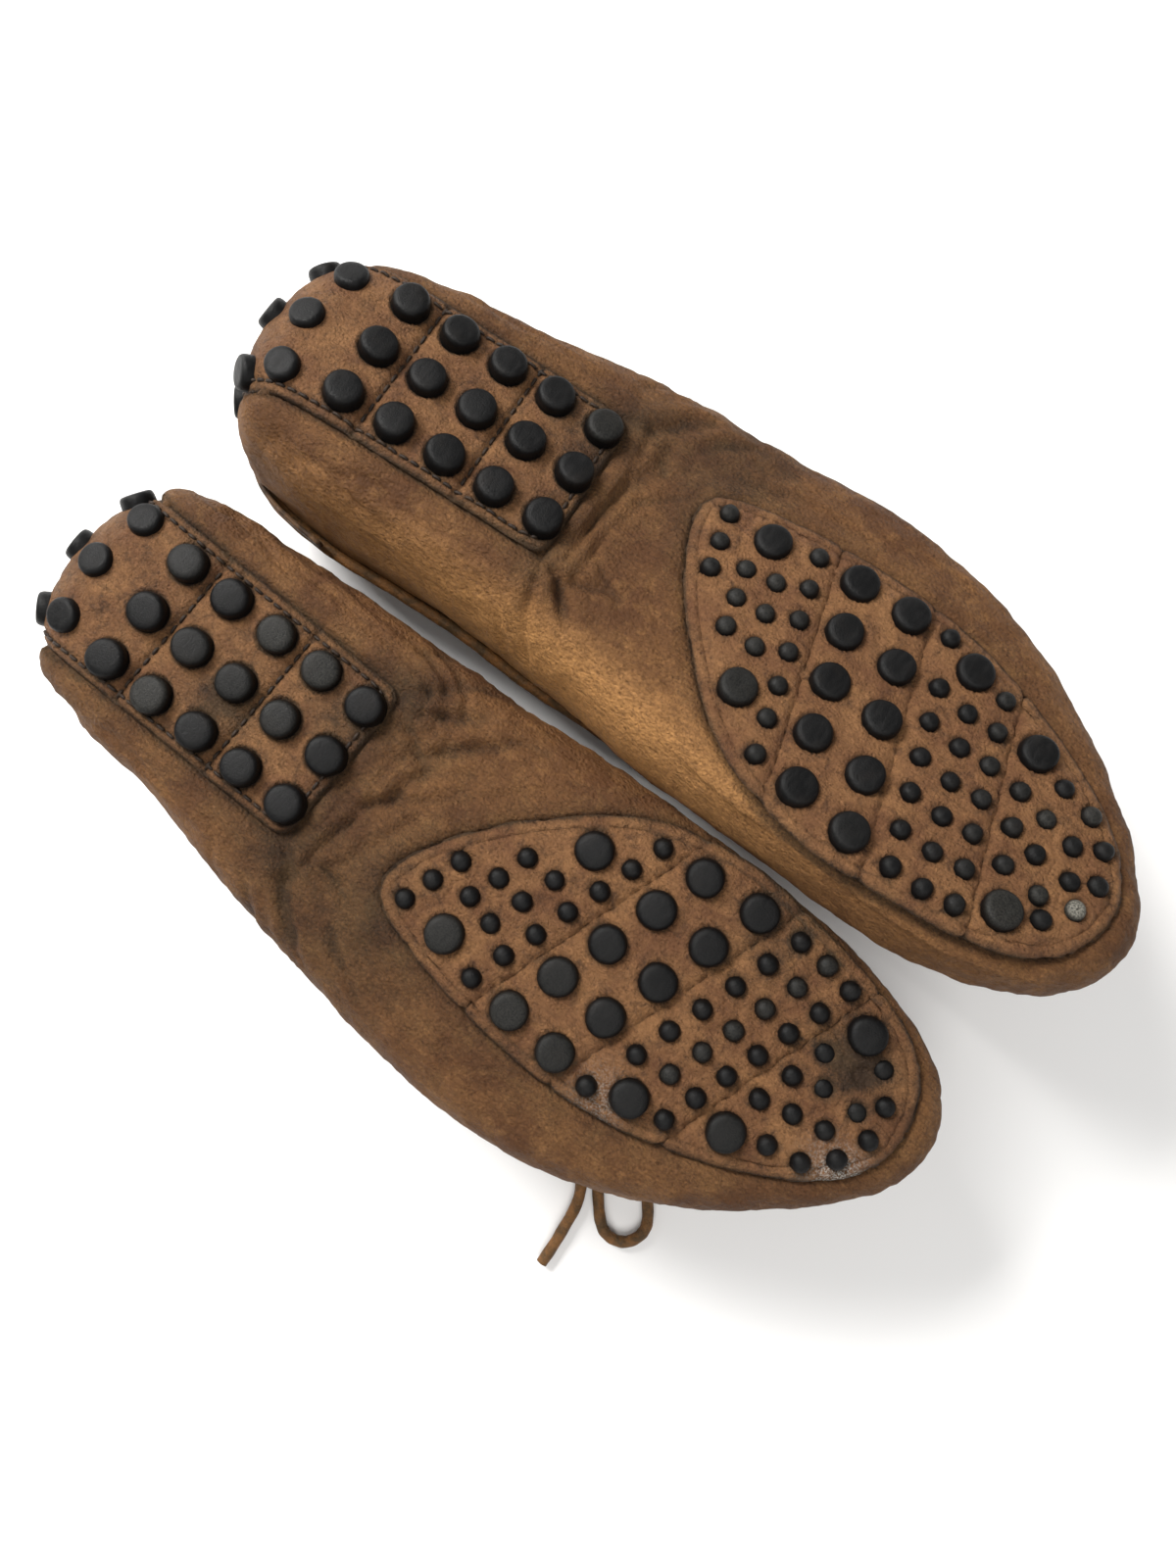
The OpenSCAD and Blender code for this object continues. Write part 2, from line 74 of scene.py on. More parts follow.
# Rows round the shoe, from the inner side of the flex line round the heel and the toe and back:
# outline x and y, the point it leans in to x and y, height and inward lean of the top edge.
REAR = [
    (107.5, 44, 107, 0, 49, 8), (86, 42, 86, 1, 49, 8), (62, 40, 63, 2, 51, 7),
    (37, 38, 45, 3, 54, 6), (14, 32, 35, 3, 57, 6), (3, 19, 30, 3, 59, 6), (0, 2, 28, 2, 60, 6),
    (3, -15, 30, 1, 59, 6), (14, -29, 35, 1, 57, 6), (37, -36, 45, 1, 54, 6),
    (62, -40, 63, 0, 51, 7), (86, -45, 86, -1, 49, 8), (107.5, -49, 107, -2, 49, 8),
]
FORE = [
    (128, -52, 128, 0, 52, 12), (150, -55, 150, 1, 56, 19), (175, -56, 172, 1, 51, 24),
    (200, -53, 195, 2, 45, 24), (224, -45, 212, 4, 40, 21), (247, -32, 226, 8, 36, 17),
    (268, -14, 234, 11, 33, 14), (281, 3, 238, 13, 31, 12), (285, 16, 240, 15, 30, 12),
    (281, 28, 238, 17, 31, 12), (269, 39, 232, 18, 33, 14), (248, 47, 222, 16, 36, 18),
    (224, 50, 208, 10, 40, 21), (198, 50, 192, 5, 45, 23), (172, 49, 170, 2, 51, 23),
    (149, 47.5, 149, 1, 56, 18), (128, 45, 128, 0, 52, 12),
]
RING = np.array(REAR + FORE, float)
HEEL_APEX = 6
THROAT_OUTER = 14
TOE_APEX = 21
THROAT_INNER = 28
RING_COUNT = len(RING)

FORE_PATCH = [
    (127, -19), (146, -26), (166, -29), (190, -30), (214, -27), (238, -19), (257, -9),
    (270, 4), (273, 17), (266, 33), (249, 42), (226, 46), (202, 48), (180, 44), (165, 37),
    (151, 25), (139, 12), (128, -5),
]
# Forefoot pebbles by panel: first x and y, step along the slant, count, and whether large.
PANELS = [
    [(133, -16, 8.8, 3, 0), (146, -5, 9.1, 3, 0), (154.5, -7, 10.1, 3, 0),
     (159.5, -21, 10.1, 7, 0), (147, -16.5, 0, 1, 1), (164, 25, 0, 1, 1)],
    [(172.5, -21.5, 15.5, 5, 1), (188.5, -22.5, 16.2, 5, 1)],
    [(200.5, -24, 0, 1, 0), (205.5, -9.5, 10.4, 6, 0), (215.5, -8, 10, 6, 0),
     (221.5, -18, 9.8, 7, 0), (211, -19.5, 0, 1, 1)],
    [(237.5, 1.5, 10.4, 3, 0), (249, 14, 0, 1, 0), (236, -10.5, 0, 1, 1), (249.5, 32, 0, 1, 1)],
]
# Toe pebbles in arcs: centre x and y, radius, first angle, step and count.
TOE_ARCS = [(247, 12.5, 19, -92, 29, 6), (249, 14, 10.5, -104, 53.5, 4)]
FORE_LINES = (172, 202, 232)
HEEL_ROWS = [(0, 0), (1, 2), (3, 4)]
HEEL_FRONT = 98.0
HEEL_HALF = 25.0
# Pebble rows on the heel's back: place on the wall, and how many rows of RING apart.
STUD_ROWS = [(0.25, 1.4), (0.7, 1.15), (1.08, 1.1), (1.4, 1.1)]

# ---- the camera ----------------------------------------------------------------------------

CAMERA_AT = (0.0238, -0.0340, 0.3841)
CAMERA_RIGHT = (0.780, 0.626, 0.010)
CAMERA_DOWN = (0.624, -0.777, -0.082)
CAMERA_LENS = 27.7


def make_camera():
    """The photograph's view: close, almost straight down on the soles."""
    right = Vector(CAMERA_RIGHT).normalized()
    up = -Vector(CAMERA_DOWN)
    up = (up - up.dot(right) * right).normalized()
    back = right.cross(up)
    data = bpy.data.cameras.new("camera")
    data.lens = CAMERA_LENS
    data.sensor_width = 36
    data.sensor_fit = "AUTO"
    data.clip_start = 0.01
    camera = bpy.data.objects.new("camera", data)
    turn = Matrix((right, up, back)).transposed()
    camera.matrix_world = Matrix.Translation(CAMERA_AT) @ turn.to_4x4()
    bpy.context.scene.collection.objects.link(camera)
    bpy.context.scene.camera = camera


make_camera()

# ---- placing ---------------------------------------------------------------------------------

LEFT_AT = np.array((-141.64, -49.2, 62.5))
RIGHT_AT = np.array((-31.14, 52.8, 62.5))
RIGHT_ROLL = -15
RIGHT_PITCH = -4.5
RIGHT_YAW = 1.5
RIGHT_BEND = 8
RIGHT_SWING = 8
BEND_FROM = 119.0
BEND_TO = 93.0


def turn(axis, degrees):
    return np.array(Matrix.Rotation(math.radians(degrees), 3, axis))


RIGHT_TURN = turn("Z", RIGHT_YAW) @ turn("Y", RIGHT_PITCH) @ turn("X", RIGHT_ROLL) @ turn("X", 180)


def place(points, side, part):
    """Points of one shoe, in the row's frame in metres. part is fore, rear, or both."""
    p = np.array(points, float).reshape(-1, 3)
    if side == "left":
        return (p * (1, 1, -1) + LEFT_AT) * MM
    if part == "fore":
        share = np.zeros(len(p))
    elif part == "rear":
        share = np.ones(len(p))
    else:
        t = np.clip((BEND_FROM - p[:, 0]) / (BEND_FROM - BEND_TO), 0, 1)
        share = t * t * (3 - 2 * t)
    swing = np.radians(-RIGHT_SWING * share)
    x, y, z = p[:, 0] - FLEX_X, p[:, 1], p[:, 2]
    x, y = x * np.cos(swing) - y * np.sin(swing), x * np.sin(swing) + y * np.cos(swing)
    bend = np.radians(-RIGHT_BEND * share)
    bent = np.stack(
        (x * np.cos(bend) + z * np.sin(bend), y, -x * np.sin(bend) + z * np.cos(bend)), 1
    )
    return (bent @ RIGHT_TURN.T + RIGHT_AT) * MM


# ---- curves and rows -------------------------------------------------------------------------


def catmull(a, b, c, d, t):
    return (
        2 * b + (c - a) * t + (2 * a - 5 * b + 4 * c - d) * t**2 + (3 * b - a - 3 * c + d) * t**3
    ) / 2


def smooth_open(points, k):
    p = np.array(points, float)
    n = len(p)
    out = [
        catmull(p[max(i - 1, 0)], p[i], p[i + 1], p[min(i + 2, n - 1)], s / k)
        for i in range(n - 1)
        for s in range(k)
    ]
    return np.array(out + [p[-1]])


def smooth_ring(points, k):
    p = np.array(points, float)
    n = len(p)
    return np.array([
        catmull(p[i - 1], p[i], p[(i + 1) % n], p[(i + 2) % n], s / k)
        for i in range(n)
        for s in range(k)
    ])


def ring_at(places):
    """Rows of the shoe at places along RING, which may lie between its rows."""
    places = np.asarray(places, float)
    i = np.floor(places).astype(int)
    t = (places - i)[..., None]
    return catmull(
        RING[(i - 1) % RING_COUNT], RING[i % RING_COUNT], RING[(i + 1) % RING_COUNT],
        RING[(i + 2) % RING_COUNT], t,
    )


def bezier(a, b, c, d, t):
    return a * (1 - t) ** 3 + 3 * b * t * (1 - t) ** 2 + 3 * c * t**2 * (1 - t) + d * t**3


def profile(rows, v):
    """Inset and height of the wall: v = 0 on the flat sole, 1 at the widest place, 2 on top."""
    top, lean = rows[..., 4], rows[..., 5]
    w = 10 + top * 0.17
    e = EDGE_IN + np.maximum(0, top - 50) * (HEEL_IN - EDGE_IN) / 10
    low, high = np.clip(v, 0, 1), np.clip(v - 1, 0, 1)
    inset = np.where(
        v <= 1, bezier(e, e * 0.3, 0, 0, low), bezier(0, 0, lean * 0.45, lean, high)
    )
    height = np.where(
        v <= 1, bezier(0, 0, w * 0.3, w, low),
        bezier(w, w + (top - w) * 0.5, top - (top - w) * 0.25, top, high),
    )
    return np.stack((inset, height), -1)


def skin(rows, v, depth):
    """Points of the shoe's outer face on rows, at v, set in by depth."""
    v = np.asarray(v, float)
    along = profile(rows, np.minimum(v + 0.02, 2)) - profile(rows, np.maximum(v - 0.02, 0))
    along /= np.linalg.norm(along, axis=-1, keepdims=True)
    q = profile(rows, v) + np.stack((along[..., 1], -along[..., 0]), -1) * depth
    lean = rows[..., 2:4] - rows[..., 0:2]
    lean /= np.linalg.norm(lean, axis=-1, keepdims=True)
    flat = rows[..., 0:2] + lean * q[..., 0:1]
    return np.concatenate((flat, q[..., 1:2]), -1)


# ---- meshes ----------------------------------------------------------------------------------


def grid_faces(rows, columns, closed_rows=False, closed_columns=False):
    faces = []
    for i in range(rows if closed_rows else rows - 1):
        for j in range(columns if closed_columns else columns - 1):
            a, b = i * columns + j, i * columns + (j + 1) % columns
            c, d = (i + 1) % rows * columns + (j + 1) % columns, (i + 1) % rows * columns + j
            faces.append((a, b, c, d))
    return faces


def normals_of(verts, faces):
    """Smooth unit normals of a mesh of quads and triangles."""
    n = np.zeros_like(verts)
    quads = np.array([f if len(f) == 4 else (*f, f[2]) for f in faces])
    a, b, c, d = (verts[quads[:, k]] for k in range(4))
    cross = np.cross(c - a, d - b)
    for k in range(4):
        np.add.at(n, quads[:, k], cross)
    return n / np.maximum(np.linalg.norm(n, axis=1, keepdims=True), 1e-9)


def thicken(verts, faces, depth):
    """Closes a sheet: a second face, depth behind the first, and a rim between them."""
    n = normals_of(verts, faces)
    count = len(verts)
    edges = {}
    for f in faces:
        for a, b in zip(f, (*f[1:], f[0])):
            edges[(a, b)] = True
    rim = [(b, a, a + count, b + count) for a, b in edges if (b, a) not in edges]
    back = [tuple(i + count for i in reversed(f)) for f in faces]
    return np.concatenate((verts, verts - n * np.asarray(depth).reshape(-1, 1))), faces + back + rim


def hash_noise(points, scale, seed=0.0, octaves=3):
    """Soft noise from about -1 to 1 on points in millimetres; scale is its size."""
    shift = Vector((seed, seed * 1.7, -seed))
    return np.array([
        noise.fractal(Vector(p) / scale + shift, 1.0, 2.0, octaves) for p in points
    ])


def add_mesh(name, verts, faces, side, part, material, fields=None, body=None):
    """Makes a piece from points of one shoe. fields are point values for its material."""
    points = np.asarray(verts, float)
    world = place(points, side, part)
    order = [tuple(reversed(f)) for f in faces] if side == "left" else faces
    mesh = bpy.data.meshes.new(name)
    mesh.from_pydata([tuple(p) for p in world], [], [tuple(int(i) for i in f) for f in order])
    mesh.validate()
    mesh.polygons.foreach_set("use_smooth", [True] * len(mesh.polygons))
    spot = mesh.attributes.new("spot", "FLOAT_VECTOR", "POINT")
    shift = (0, 0, 0) if side == "left" else (40, 17, 9)
    spot.data.foreach_set("vector", (points * 0.1 + shift).astype(np.float32).ravel())
    for key, values in (fields or {}).items():
        field = mesh.attributes.new(key, "FLOAT", "POINT")
        field.data.foreach_set("value", np.asarray(values, np.float32).ravel())
    mesh.materials.append(material)
    piece = bpy.data.objects.new(name, mesh)
    bpy.context.scene.collection.objects.link(piece)
    if part == "both":
        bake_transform(piece)
    else:
        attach(piece, side + "_" + (body or part))
    return piece


def tube_mesh(path, radius, sides, closed=False, twist=0.0):
    """A tube along a path; radius may differ at each point."""
    p = np.asarray(path, float)
    n = len(p)
    if closed:
        t = np.roll(p, -1, 0) - np.roll(p, 1, 0)
    else:
        t = np.gradient(p, axis=0)
    t /= np.linalg.norm(t, axis=1, keepdims=True)
    s = np.cross(t, (0, 0, 1.0))
    s /= np.maximum(np.linalg.norm(s, axis=1, keepdims=True), 1e-9)
    u = np.cross(s, t)
    radius = np.broadcast_to(radius, n)
    a = np.arange(sides) * 2 * math.pi / sides
    spin = twist * np.arange(n)[:, None]
    ring = np.cos(a + spin)[..., None] * s[:, None] + np.sin(a + spin)[..., None] * u[:, None]
    verts = (p[:, None] + ring * radius[:, None, None]).reshape(-1, 3)
    faces = grid_faces(n, sides, closed_rows=closed, closed_columns=True)
    if not closed:
        count = len(verts)
        start, end = p[:1] - t[:1] * radius[0] * 0.3, p[-1:] + t[-1:] * radius[-1] * 0.3
        verts = np.concatenate((verts, start, end))
        faces += [(count, (j + 1) % sides, j) for j in range(sides)]
        base = (n - 1) * sides
        faces += [(base + j, base + (j + 1) % sides, count + 1) for j in range(sides)]
    return verts, faces


def join(parts):
    """Several (verts, faces) as one."""
    verts, faces, first = [], [], 0
    for v, f in parts:
        verts.append(v)
        faces += [tuple(i + first for i in q) for q in f]
        first += len(v)
    return np.concatenate(verts), faces


# ---- materials -------------------------------------------------------------------------------


class Shader:
    """A small helper that writes a node tree from the top down."""

    def __init__(self, name):
        self.material = bpy.data.materials.new(name)
        self.material.use_nodes = True
        self.tree = self.material.node_tree
        self.surface = self.tree.nodes["Principled BSDF"]

    def link(self, value, socket):
        if isinstance(value, bpy.types.NodeSocket):
            self.tree.links.new(value, socket)
        else:
            socket.default_value = value

    def field(self, name, vector=False):
        node = self.tree.nodes.new("ShaderNodeAttribute")
        node.attribute_name = name
        return node.outputs["Vector" if vector else "Fac"]

    def noise(self, place, scale, detail=4.0, rough=0.55, warp=0.0):
        node = self.tree.nodes.new("ShaderNodeTexNoise")
        self.link(place, node.inputs["Vector"])
        node.inputs["Scale"].default_value = scale
        node.inputs["Detail"].default_value = detail
        node.inputs["Roughness"].default_value = rough
        node.inputs["Distortion"].default_value = warp
        return node.outputs["Fac"]

    def cells(self, place, scale):
        node = self.tree.nodes.new("ShaderNodeTexVoronoi")
        self.link(place, node.inputs["Vector"])
        node.inputs["Scale"].default_value = scale
        return node.outputs["Distance"]

    def stretch(self, place, scale):
        node = self.tree.nodes.new("ShaderNodeMapping")
        self.link(place, node.inputs["Vector"])
        node.inputs["Scale"].default_value = scale
        return node.outputs["Vector"]

    def remap(self, value, low, high, to_low=0.0, to_high=1.0):
        node = self.tree.nodes.new("ShaderNodeMapRange")
        self.link(value, node.inputs["Value"])
        ends = {"From Min": low, "From Max": high, "To Min": to_low, "To Max": to_high}
        for key, number in ends.items():
            node.inputs[key].default_value = number
        return node.outputs["Result"]

    def math(self, operation, a, b=0.0):
        node = self.tree.nodes.new("ShaderNodeMath")
        node.operation = operation
        self.link(a, node.inputs[0])
        self.link(b, node.inputs[1])
        return node.outputs["Value"]

    def mix(self, fac, a, b):
        node = self.tree.nodes.new("ShaderNodeMix")
        node.data_type = "RGBA"
        self.link(fac, node.inputs[0])
        self.link((*a, 1) if isinstance(a, tuple) else a, node.inputs[6])
        self.link((*b, 1) if isinstance(b, tuple) else b, node.inputs[7])
        return node.outputs[2]

    def bump(self, height, distance, strength=1.0, normal=None):
        node = self.tree.nodes.new("ShaderNodeBump")
        self.link(height, node.inputs["Height"])
        node.inputs["Distance"].default_value = distance
        node.inputs["Strength"].default_value = strength
        if normal is not None:
            self.link(normal, node.inputs["Normal"])
        return node.outputs["Normal"]

    def finish(self, colour, roughness, normal=None, specular=0.5):
        self.link(colour if isinstance(colour, bpy.types.NodeSocket) else (*colour, 1),
                  self.surface.inputs["Base Color"])
        self.link(roughness, self.surface.inputs["Roughness"])
        self.surface.inputs["Specular IOR Level"].default_value = specular
        if normal is not None:
            self.link(normal, self.surface.inputs["Normal"])
        return self.material


# Colours, as light.
TAN = (0.205, 0.095, 0.033)
TAN_PALE = (0.335, 0.162, 0.056)
# The next tan is a painted highlight, the paler tone of the inner wall that faces the light.
TAN_HIGHLIGHT = (0.545, 0.275, 0.094)
TAN_RED = (0.105, 0.043, 0.015)
# The two grime colours are also the colour of the painted shade.
GRIME_AND_SHADE = (0.021, 0.0135, 0.0078)
GRIME_AND_SHADE_GREEN = (0.050, 0.031, 0.0145)
PATCH = (0.142, 0.061, 0.026)
PATCH_PALE = (0.245, 0.118, 0.047)
PATCH_DARK = (0.038, 0.017, 0.010)
RUBBER = (0.0024, 0.0024, 0.0026)
RUBBER_WORN = (0.0075, 0.0072, 0.0072)
THREAD = (0.014, 0.008, 0.005)
DARK_EDGE = (0.040, 0.022, 0.012)
LINING = (0.20, 0.13, 0.075)
THONG = (0.075, 0.042, 0.016)
THONG_ORANGE = (0.23, 0.100, 0.028)
CHALK = (0.60, 0.58, 0.53)
DUST = (0.20, 0.19, 0.16)


def leather_grain(s, place, size=10.0):
    """Pores and fine creases, as a height from 0 to 1."""
    pores = s.remap(s.cells(place, size), 0.0, 0.6)
    folds = s.noise(s.stretch(place, (1.0, 2.4, 1.6)), size * 0.40, 6.0, 0.68, 0.8)
    return s.math("ADD", s.math("MULTIPLY", pores, 0.40), s.math("MULTIPLY", folds, 1.1))


def soiled_and_shaded(s, place, colour, blotch, speck, amount):
    """Dirt rubbed into the grain, and painted shade, where their point field says: speckled, and nearly
    black.
    """
    dirt_and_shade = s.math("ADD", s.field("grime_and_shade"), s.math("MULTIPLY", s.math("SUBTRACT", blotch, 0.5), 1.0))
    dirt_and_shade = s.math("ADD", dirt_and_shade, s.math("MULTIPLY", s.math("SUBTRACT", speck, 0.5), 1.5))
    dirt_and_shade = s.remap(dirt_and_shade, 0.22, 1.05)
    muck_and_shade = s.mix(s.remap(s.noise(place, 0.9, 3.0), 0.4, 0.6), GRIME_AND_SHADE, GRIME_AND_SHADE_GREEN)
    return s.mix(s.math("MULTIPLY", dirt_and_shade, amount), colour, muck_and_shade), dirt_and_shade


def wrap_leather():
    """Tan leather with grain, mottling, grime and painted shade where their field says, and a painted
    highlight on the inner wall that faces the light.
    """
    s = Shader("wrap_leather")
    place = s.field("spot", True)
    broad = s.noise(place, 0.45, 3.0)
    blotch = s.noise(place, 1.5, 6.0, 0.66, 0.6)
    fine = s.noise(s.stretch(place, (1.0, 1.6, 1.3)), 7.0, 7.0, 0.72, 0.3)
    speck = s.noise(place, 16.0, 6.0, 0.74)
    grain = leather_grain(s, place, 8.5)
    colour = s.mix(s.remap(broad, 0.38, 0.66), TAN_RED, TAN)
    colour = s.mix(s.math("MULTIPLY", s.remap(blotch, 0.50, 0.72), 0.68), colour, TAN_PALE)
    # Painted highlight: the inner wall that faces the light is painted the paler tan.
    colour = s.mix(s.math("MULTIPLY", s.field("painted_highlight"), 0.85), colour, TAN_HIGHLIGHT)
    colour = s.mix(s.remap(fine, 0.34, 0.55, 0.66, 0.0), colour, TAN_RED)
    colour, dirt_and_shade = soiled_and_shaded(s, place, colour, blotch, speck, 0.86)
    colour = s.mix(s.remap(grain, 0.42, 0.72, 0.64, 0.0), colour, TAN_RED)
    rough = s.remap(s.math("ADD", fine, s.math("MULTIPLY", dirt_and_shade, 0.25)), 0.3, 0.9, 0.56, 0.84)
    soft = s.bump(s.noise(s.stretch(place, (1, 1.7, 1)), 3.0, 6.0, 0.68, 1.2), 0.0026, 0.75)
    normal = s.bump(grain, 0.0011, 0.95, soft)
    return s.finish(colour, rough, normal, 0.22)


def patch_leather():
    """Redder, stained leather of the sole patches, with painted shade where their field says."""
    s = Shader("sole_leather")
    place = s.field("spot", True)
    broad = s.noise(place, 0.8, 4.0, 0.6, 0.5)
    blotch = s.noise(place, 2.2, 7.0, 0.68, 0.8)
    speck = s.noise(place, 18.0, 6.0, 0.74)
    scrape = s.noise(s.stretch(place, (3.2, 0.9, 1.0)), 5.0, 6.0, 0.7, 0.5)
    grain = leather_grain(s, place, 10.0)
    colour = s.mix(s.remap(broad, 0.36, 0.66), PATCH, PATCH_PALE)
    colour = s.mix(s.math("MULTIPLY", s.remap(blotch, 0.54, 0.72), 0.7), colour, PATCH_DARK)
    colour = s.mix(s.remap(scrape, 0.52, 0.72, 0.0, 0.45), colour, PATCH_PALE)
    colour, dirt_and_shade = soiled_and_shaded(s, place, colour, blotch, speck, 0.88)
    white = s.math("MULTIPLY", s.field("dust"), s.remap(speck, 0.47, 0.60))
    colour = s.mix(white, colour, CHALK)
    colour = s.mix(s.remap(grain, 0.42, 0.72, 0.45, 0.0), colour, PATCH_DARK)
    rough = s.remap(speck, 0.3, 0.75, 0.52, 0.84)
    soft = s.bump(s.noise(place, 4.0, 6.0, 0.70, 1.0), 0.0022, 0.8)
    normal = s.bump(grain, 0.0010, 0.95, soft)
    return s.finish(colour, rough, normal, 0.22)


def rubber():
    """Dark satin rubber, dusty and scuffed on the faces that touch the ground."""
    s = Shader("pebble_rubber")
    place = s.field("spot", True)
    fine = s.noise(place, 22.0, 5.0, 0.7)
    smear = s.noise(s.stretch(place, (1.0, 0.25, 1.0)), 6.0, 4.0, 0.7, 0.3)
    scuff = s.math("MULTIPLY", s.field("wear"), s.remap(smear, 0.45, 0.70))
    colour = s.mix(s.math("MULTIPLY", scuff, 0.8), RUBBER, RUBBER_WORN)
    white = s.math("MULTIPLY", s.field("dust"), s.remap(fine, 0.35, 0.6))
    colour = s.mix(white, colour, DUST)
    stain = s.remap(s.noise(place, 1.3, 3.0), 0.55, 0.8, 0.0, 0.35)
    colour = s.mix(stain, colour, (0.012, 0.009, 0.007))
    rough = s.remap(s.math("ADD", fine, scuff), 0.3, 1.5, 0.36, 0.60)
    normal = s.bump(s.math("ADD", fine, s.math("MULTIPLY", smear, 0.8)), 0.00020, 0.8)
    return s.finish(colour, rough, normal, 0.15)


def plain_leather(name, base, other, low=0.45, high=0.75, size=10.0, depth=0.0004):
    """Leather of one tone that varies to another, for edges, linings, thongs and threads."""
    s = Shader(name)
    place = s.field("spot", True)
    blotch = s.noise(place, 2.2, 5.0, 0.65, 0.5)
    fine = s.noise(place, size * 1.5, 5.0, 0.7)
    grain = leather_grain(s, place, size)
    colour = s.mix(s.remap(blotch, 0.38, 0.68), base, other)
    colour = s.mix(s.remap(fine, 0.30, 0.50, 0.5, 0.0), colour, GRIME_AND_SHADE)
    rough = s.remap(fine, 0.3, 0.75, low, high)
    return s.finish(colour, rough, s.bump(grain, depth, 0.8), 0.26)


MATERIALS = {
    "wrap": wrap_leather(),
    "patch": patch_leather(),
    "rubber": rubber(),
    "thread": plain_leather("waxed_thread", THREAD, (0.030, 0.017, 0.009), 0.45, 0.7, 26.0, 0.0002),
    "edge": plain_leather("binding_leather", DARK_EDGE, (0.16, 0.085, 0.040), 0.42, 0.7),
    "lining": plain_leather("lining_leather", LINING, (0.25, 0.15, 0.080), 0.55, 0.85, 14.0, 0.0003),
    "thong": plain_leather("thong_leather", THONG, THONG_ORANGE, 0.45, 0.72, 12.0, 0.0005),
}


def piece(name, mesh, side, part, kind, replaced=(), fields=None, body=None):
    made = add_mesh(
        f"{side}_{name}", mesh[0], mesh[1], side, part, MATERIALS[kind], fields, body
    )
    if replaced:
        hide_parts(*[f"{side}_{n}" for n in replaced])
    return made


# ---- the left shoe's lace, which comes first because its room is limited -----------------------

SOLE_Z = 62.5
OUTER_TAIL = [
    (177, -6, 3), (186, -17, 2.6), (200, -32, 2.4), (215, -45, 2.4), (226, -58, 2.4),
    (229, -71, 2.4), (230, -82, 2.4),
]
OUTER_LOOP = [
    (183, -7, 3.4), (193, -15.5, 3), (204, -26, 2.6), (216.9, -39.9, 2.4), (227.7, -51.7, 2.4),
    (235.85, -60.5, 2.4), (241, -62.9, 2.4), (246.3, -61, 2.4), (248.7, -55.8, 2.4),
    (246.75, -50.5, 2.4), (238.6, -41.7, 2.4), (227.8, -29.9, 2.6), (213, -15.5, 3.2),
    (198, -5, 3.6), (185, -2, 3.8),
]
INNER_TAIL = [
    (177, 6, 3), (181, 19, 2.6), (188, 32, 2.4), (200, 41, 2.4), (214, 44, 2.4), (227, 40, 2.4),
]
INNER_LOOP = [
    (183, 7, 3.4), (191, 17, 2.8), (200, 26.5, 2.4), (209.5, 33.3, 2.4), (214.9, 34.8, 2.4),
    (219.8, 32, 2.4), (221.3, 26.6, 2.4), (218.5, 21.7, 2.4), (209, 14.4, 2.6), (198, 7.5, 3.2),
    (185, 2.5, 3.8),
]
# Real length of each stretch of thong, in metres.
CORDS = {
    "outer_tail": (OUTER_TAIL, 0.099, "bare"),
    "outer_loop": (OUTER_LOOP, 0.178, "object"),
    "inner_tail": (INNER_TAIL, 0.075, "bare"),
    "inner_loop": (INNER_LOOP, 0.104, "object"),
}


def make_cords():
    """Free laces of the left shoe: leather thongs that lie on the surface."""
    for name, (points, length, far_end) in CORDS.items():
        route = np.array([(x, y, SOLE_Z - h) for x, y, h in points], float)
        line = smooth_open(route, 8)
        wobble = 1 + 0.035 * np.sin(np.arange(len(line)) * 1.3)
        verts, faces = tube_mesh(line, THONG_D / 2 * wobble, 12, twist=0.012)
        cord = piece(name + "_thong", (verts, faces), "left", "fore", "thong", (name,))


make_cords()

# ---- distances on the sole -------------------------------------------------------------------


def outline_distance(points, outline):
    """Distance in from a closed outline (negative outside) and the place along it."""
    p = np.asarray(points, float)[:, None, :2]
    a = np.asarray(outline, float)
    b = np.roll(a, -1, 0)
    ab = b - a
    t = np.clip(((p - a) * ab).sum(-1) / (ab**2).sum(-1), 0, 1)
    gap = np.linalg.norm(p - (a + ab * t[..., None]), axis=-1)
    nearest = gap.argmin(1)
    lengths = np.linalg.norm(ab, axis=1)
    start = np.concatenate(([0], np.cumsum(lengths)[:-1]))
    rows = np.arange(len(p))
    along = start[nearest] + t[rows, nearest] * lengths[nearest]
    x, y = p[..., 0], p[..., 1]
    crosses = ((a[:, 1] > y) != (b[:, 1] > y)) & (
        x < (b[:, 0] - a[:, 0]) * (y - a[:, 1]) / np.where(ab[:, 1] == 0, 1e-9, ab[:, 1]) + a[:, 0]
    )
    inside = crosses.sum(1) % 2 == 1
    return np.where(inside, 1, -1) * gap[rows, nearest], along


FORE_OUTLINE = smooth_ring(FORE_PATCH, 3)


def heel_distance(x, y):
    """Distance out from the heel cover's edge, on the sole and round the heel's back."""
    dx, dy = x - HEEL_FRONT, np.abs(y - 0.5) - HEEL_HALF
    return np.where((dx > 0) & (dy > 0), np.hypot(dx, dy), np.maximum(dx, dy))


def bell(x, width):
    return np.exp(-((x / width) ** 2))


def puff(d, height, reach):
    """Cross-section of the soft roll of leather beside a stitched patch."""
    d = np.maximum(d, 0)
    return height * 1.35 * (1 - np.exp(-d / 2.2)) * np.exp(-((d / reach) ** 2))


# ---- the wrap --------------------------------------------------------------------------------

RING_STEPS = 16
WALL_STEPS = 44
SOLE_STEPS = 56
# The wrap's sheet, the deepest that it may sink, and how far it sinks under a patch.
WRAP_SHEET = LEATHER_T * 0.85
DEEPEST = 1.7
PATCH_EDGE_SINK = 0.2
PATCH_SINK = 1.3
ROWS = ring_at(np.arange(RING_COUNT * RING_STEPS) / RING_STEPS)
ROW_COUNT = len(ROWS)

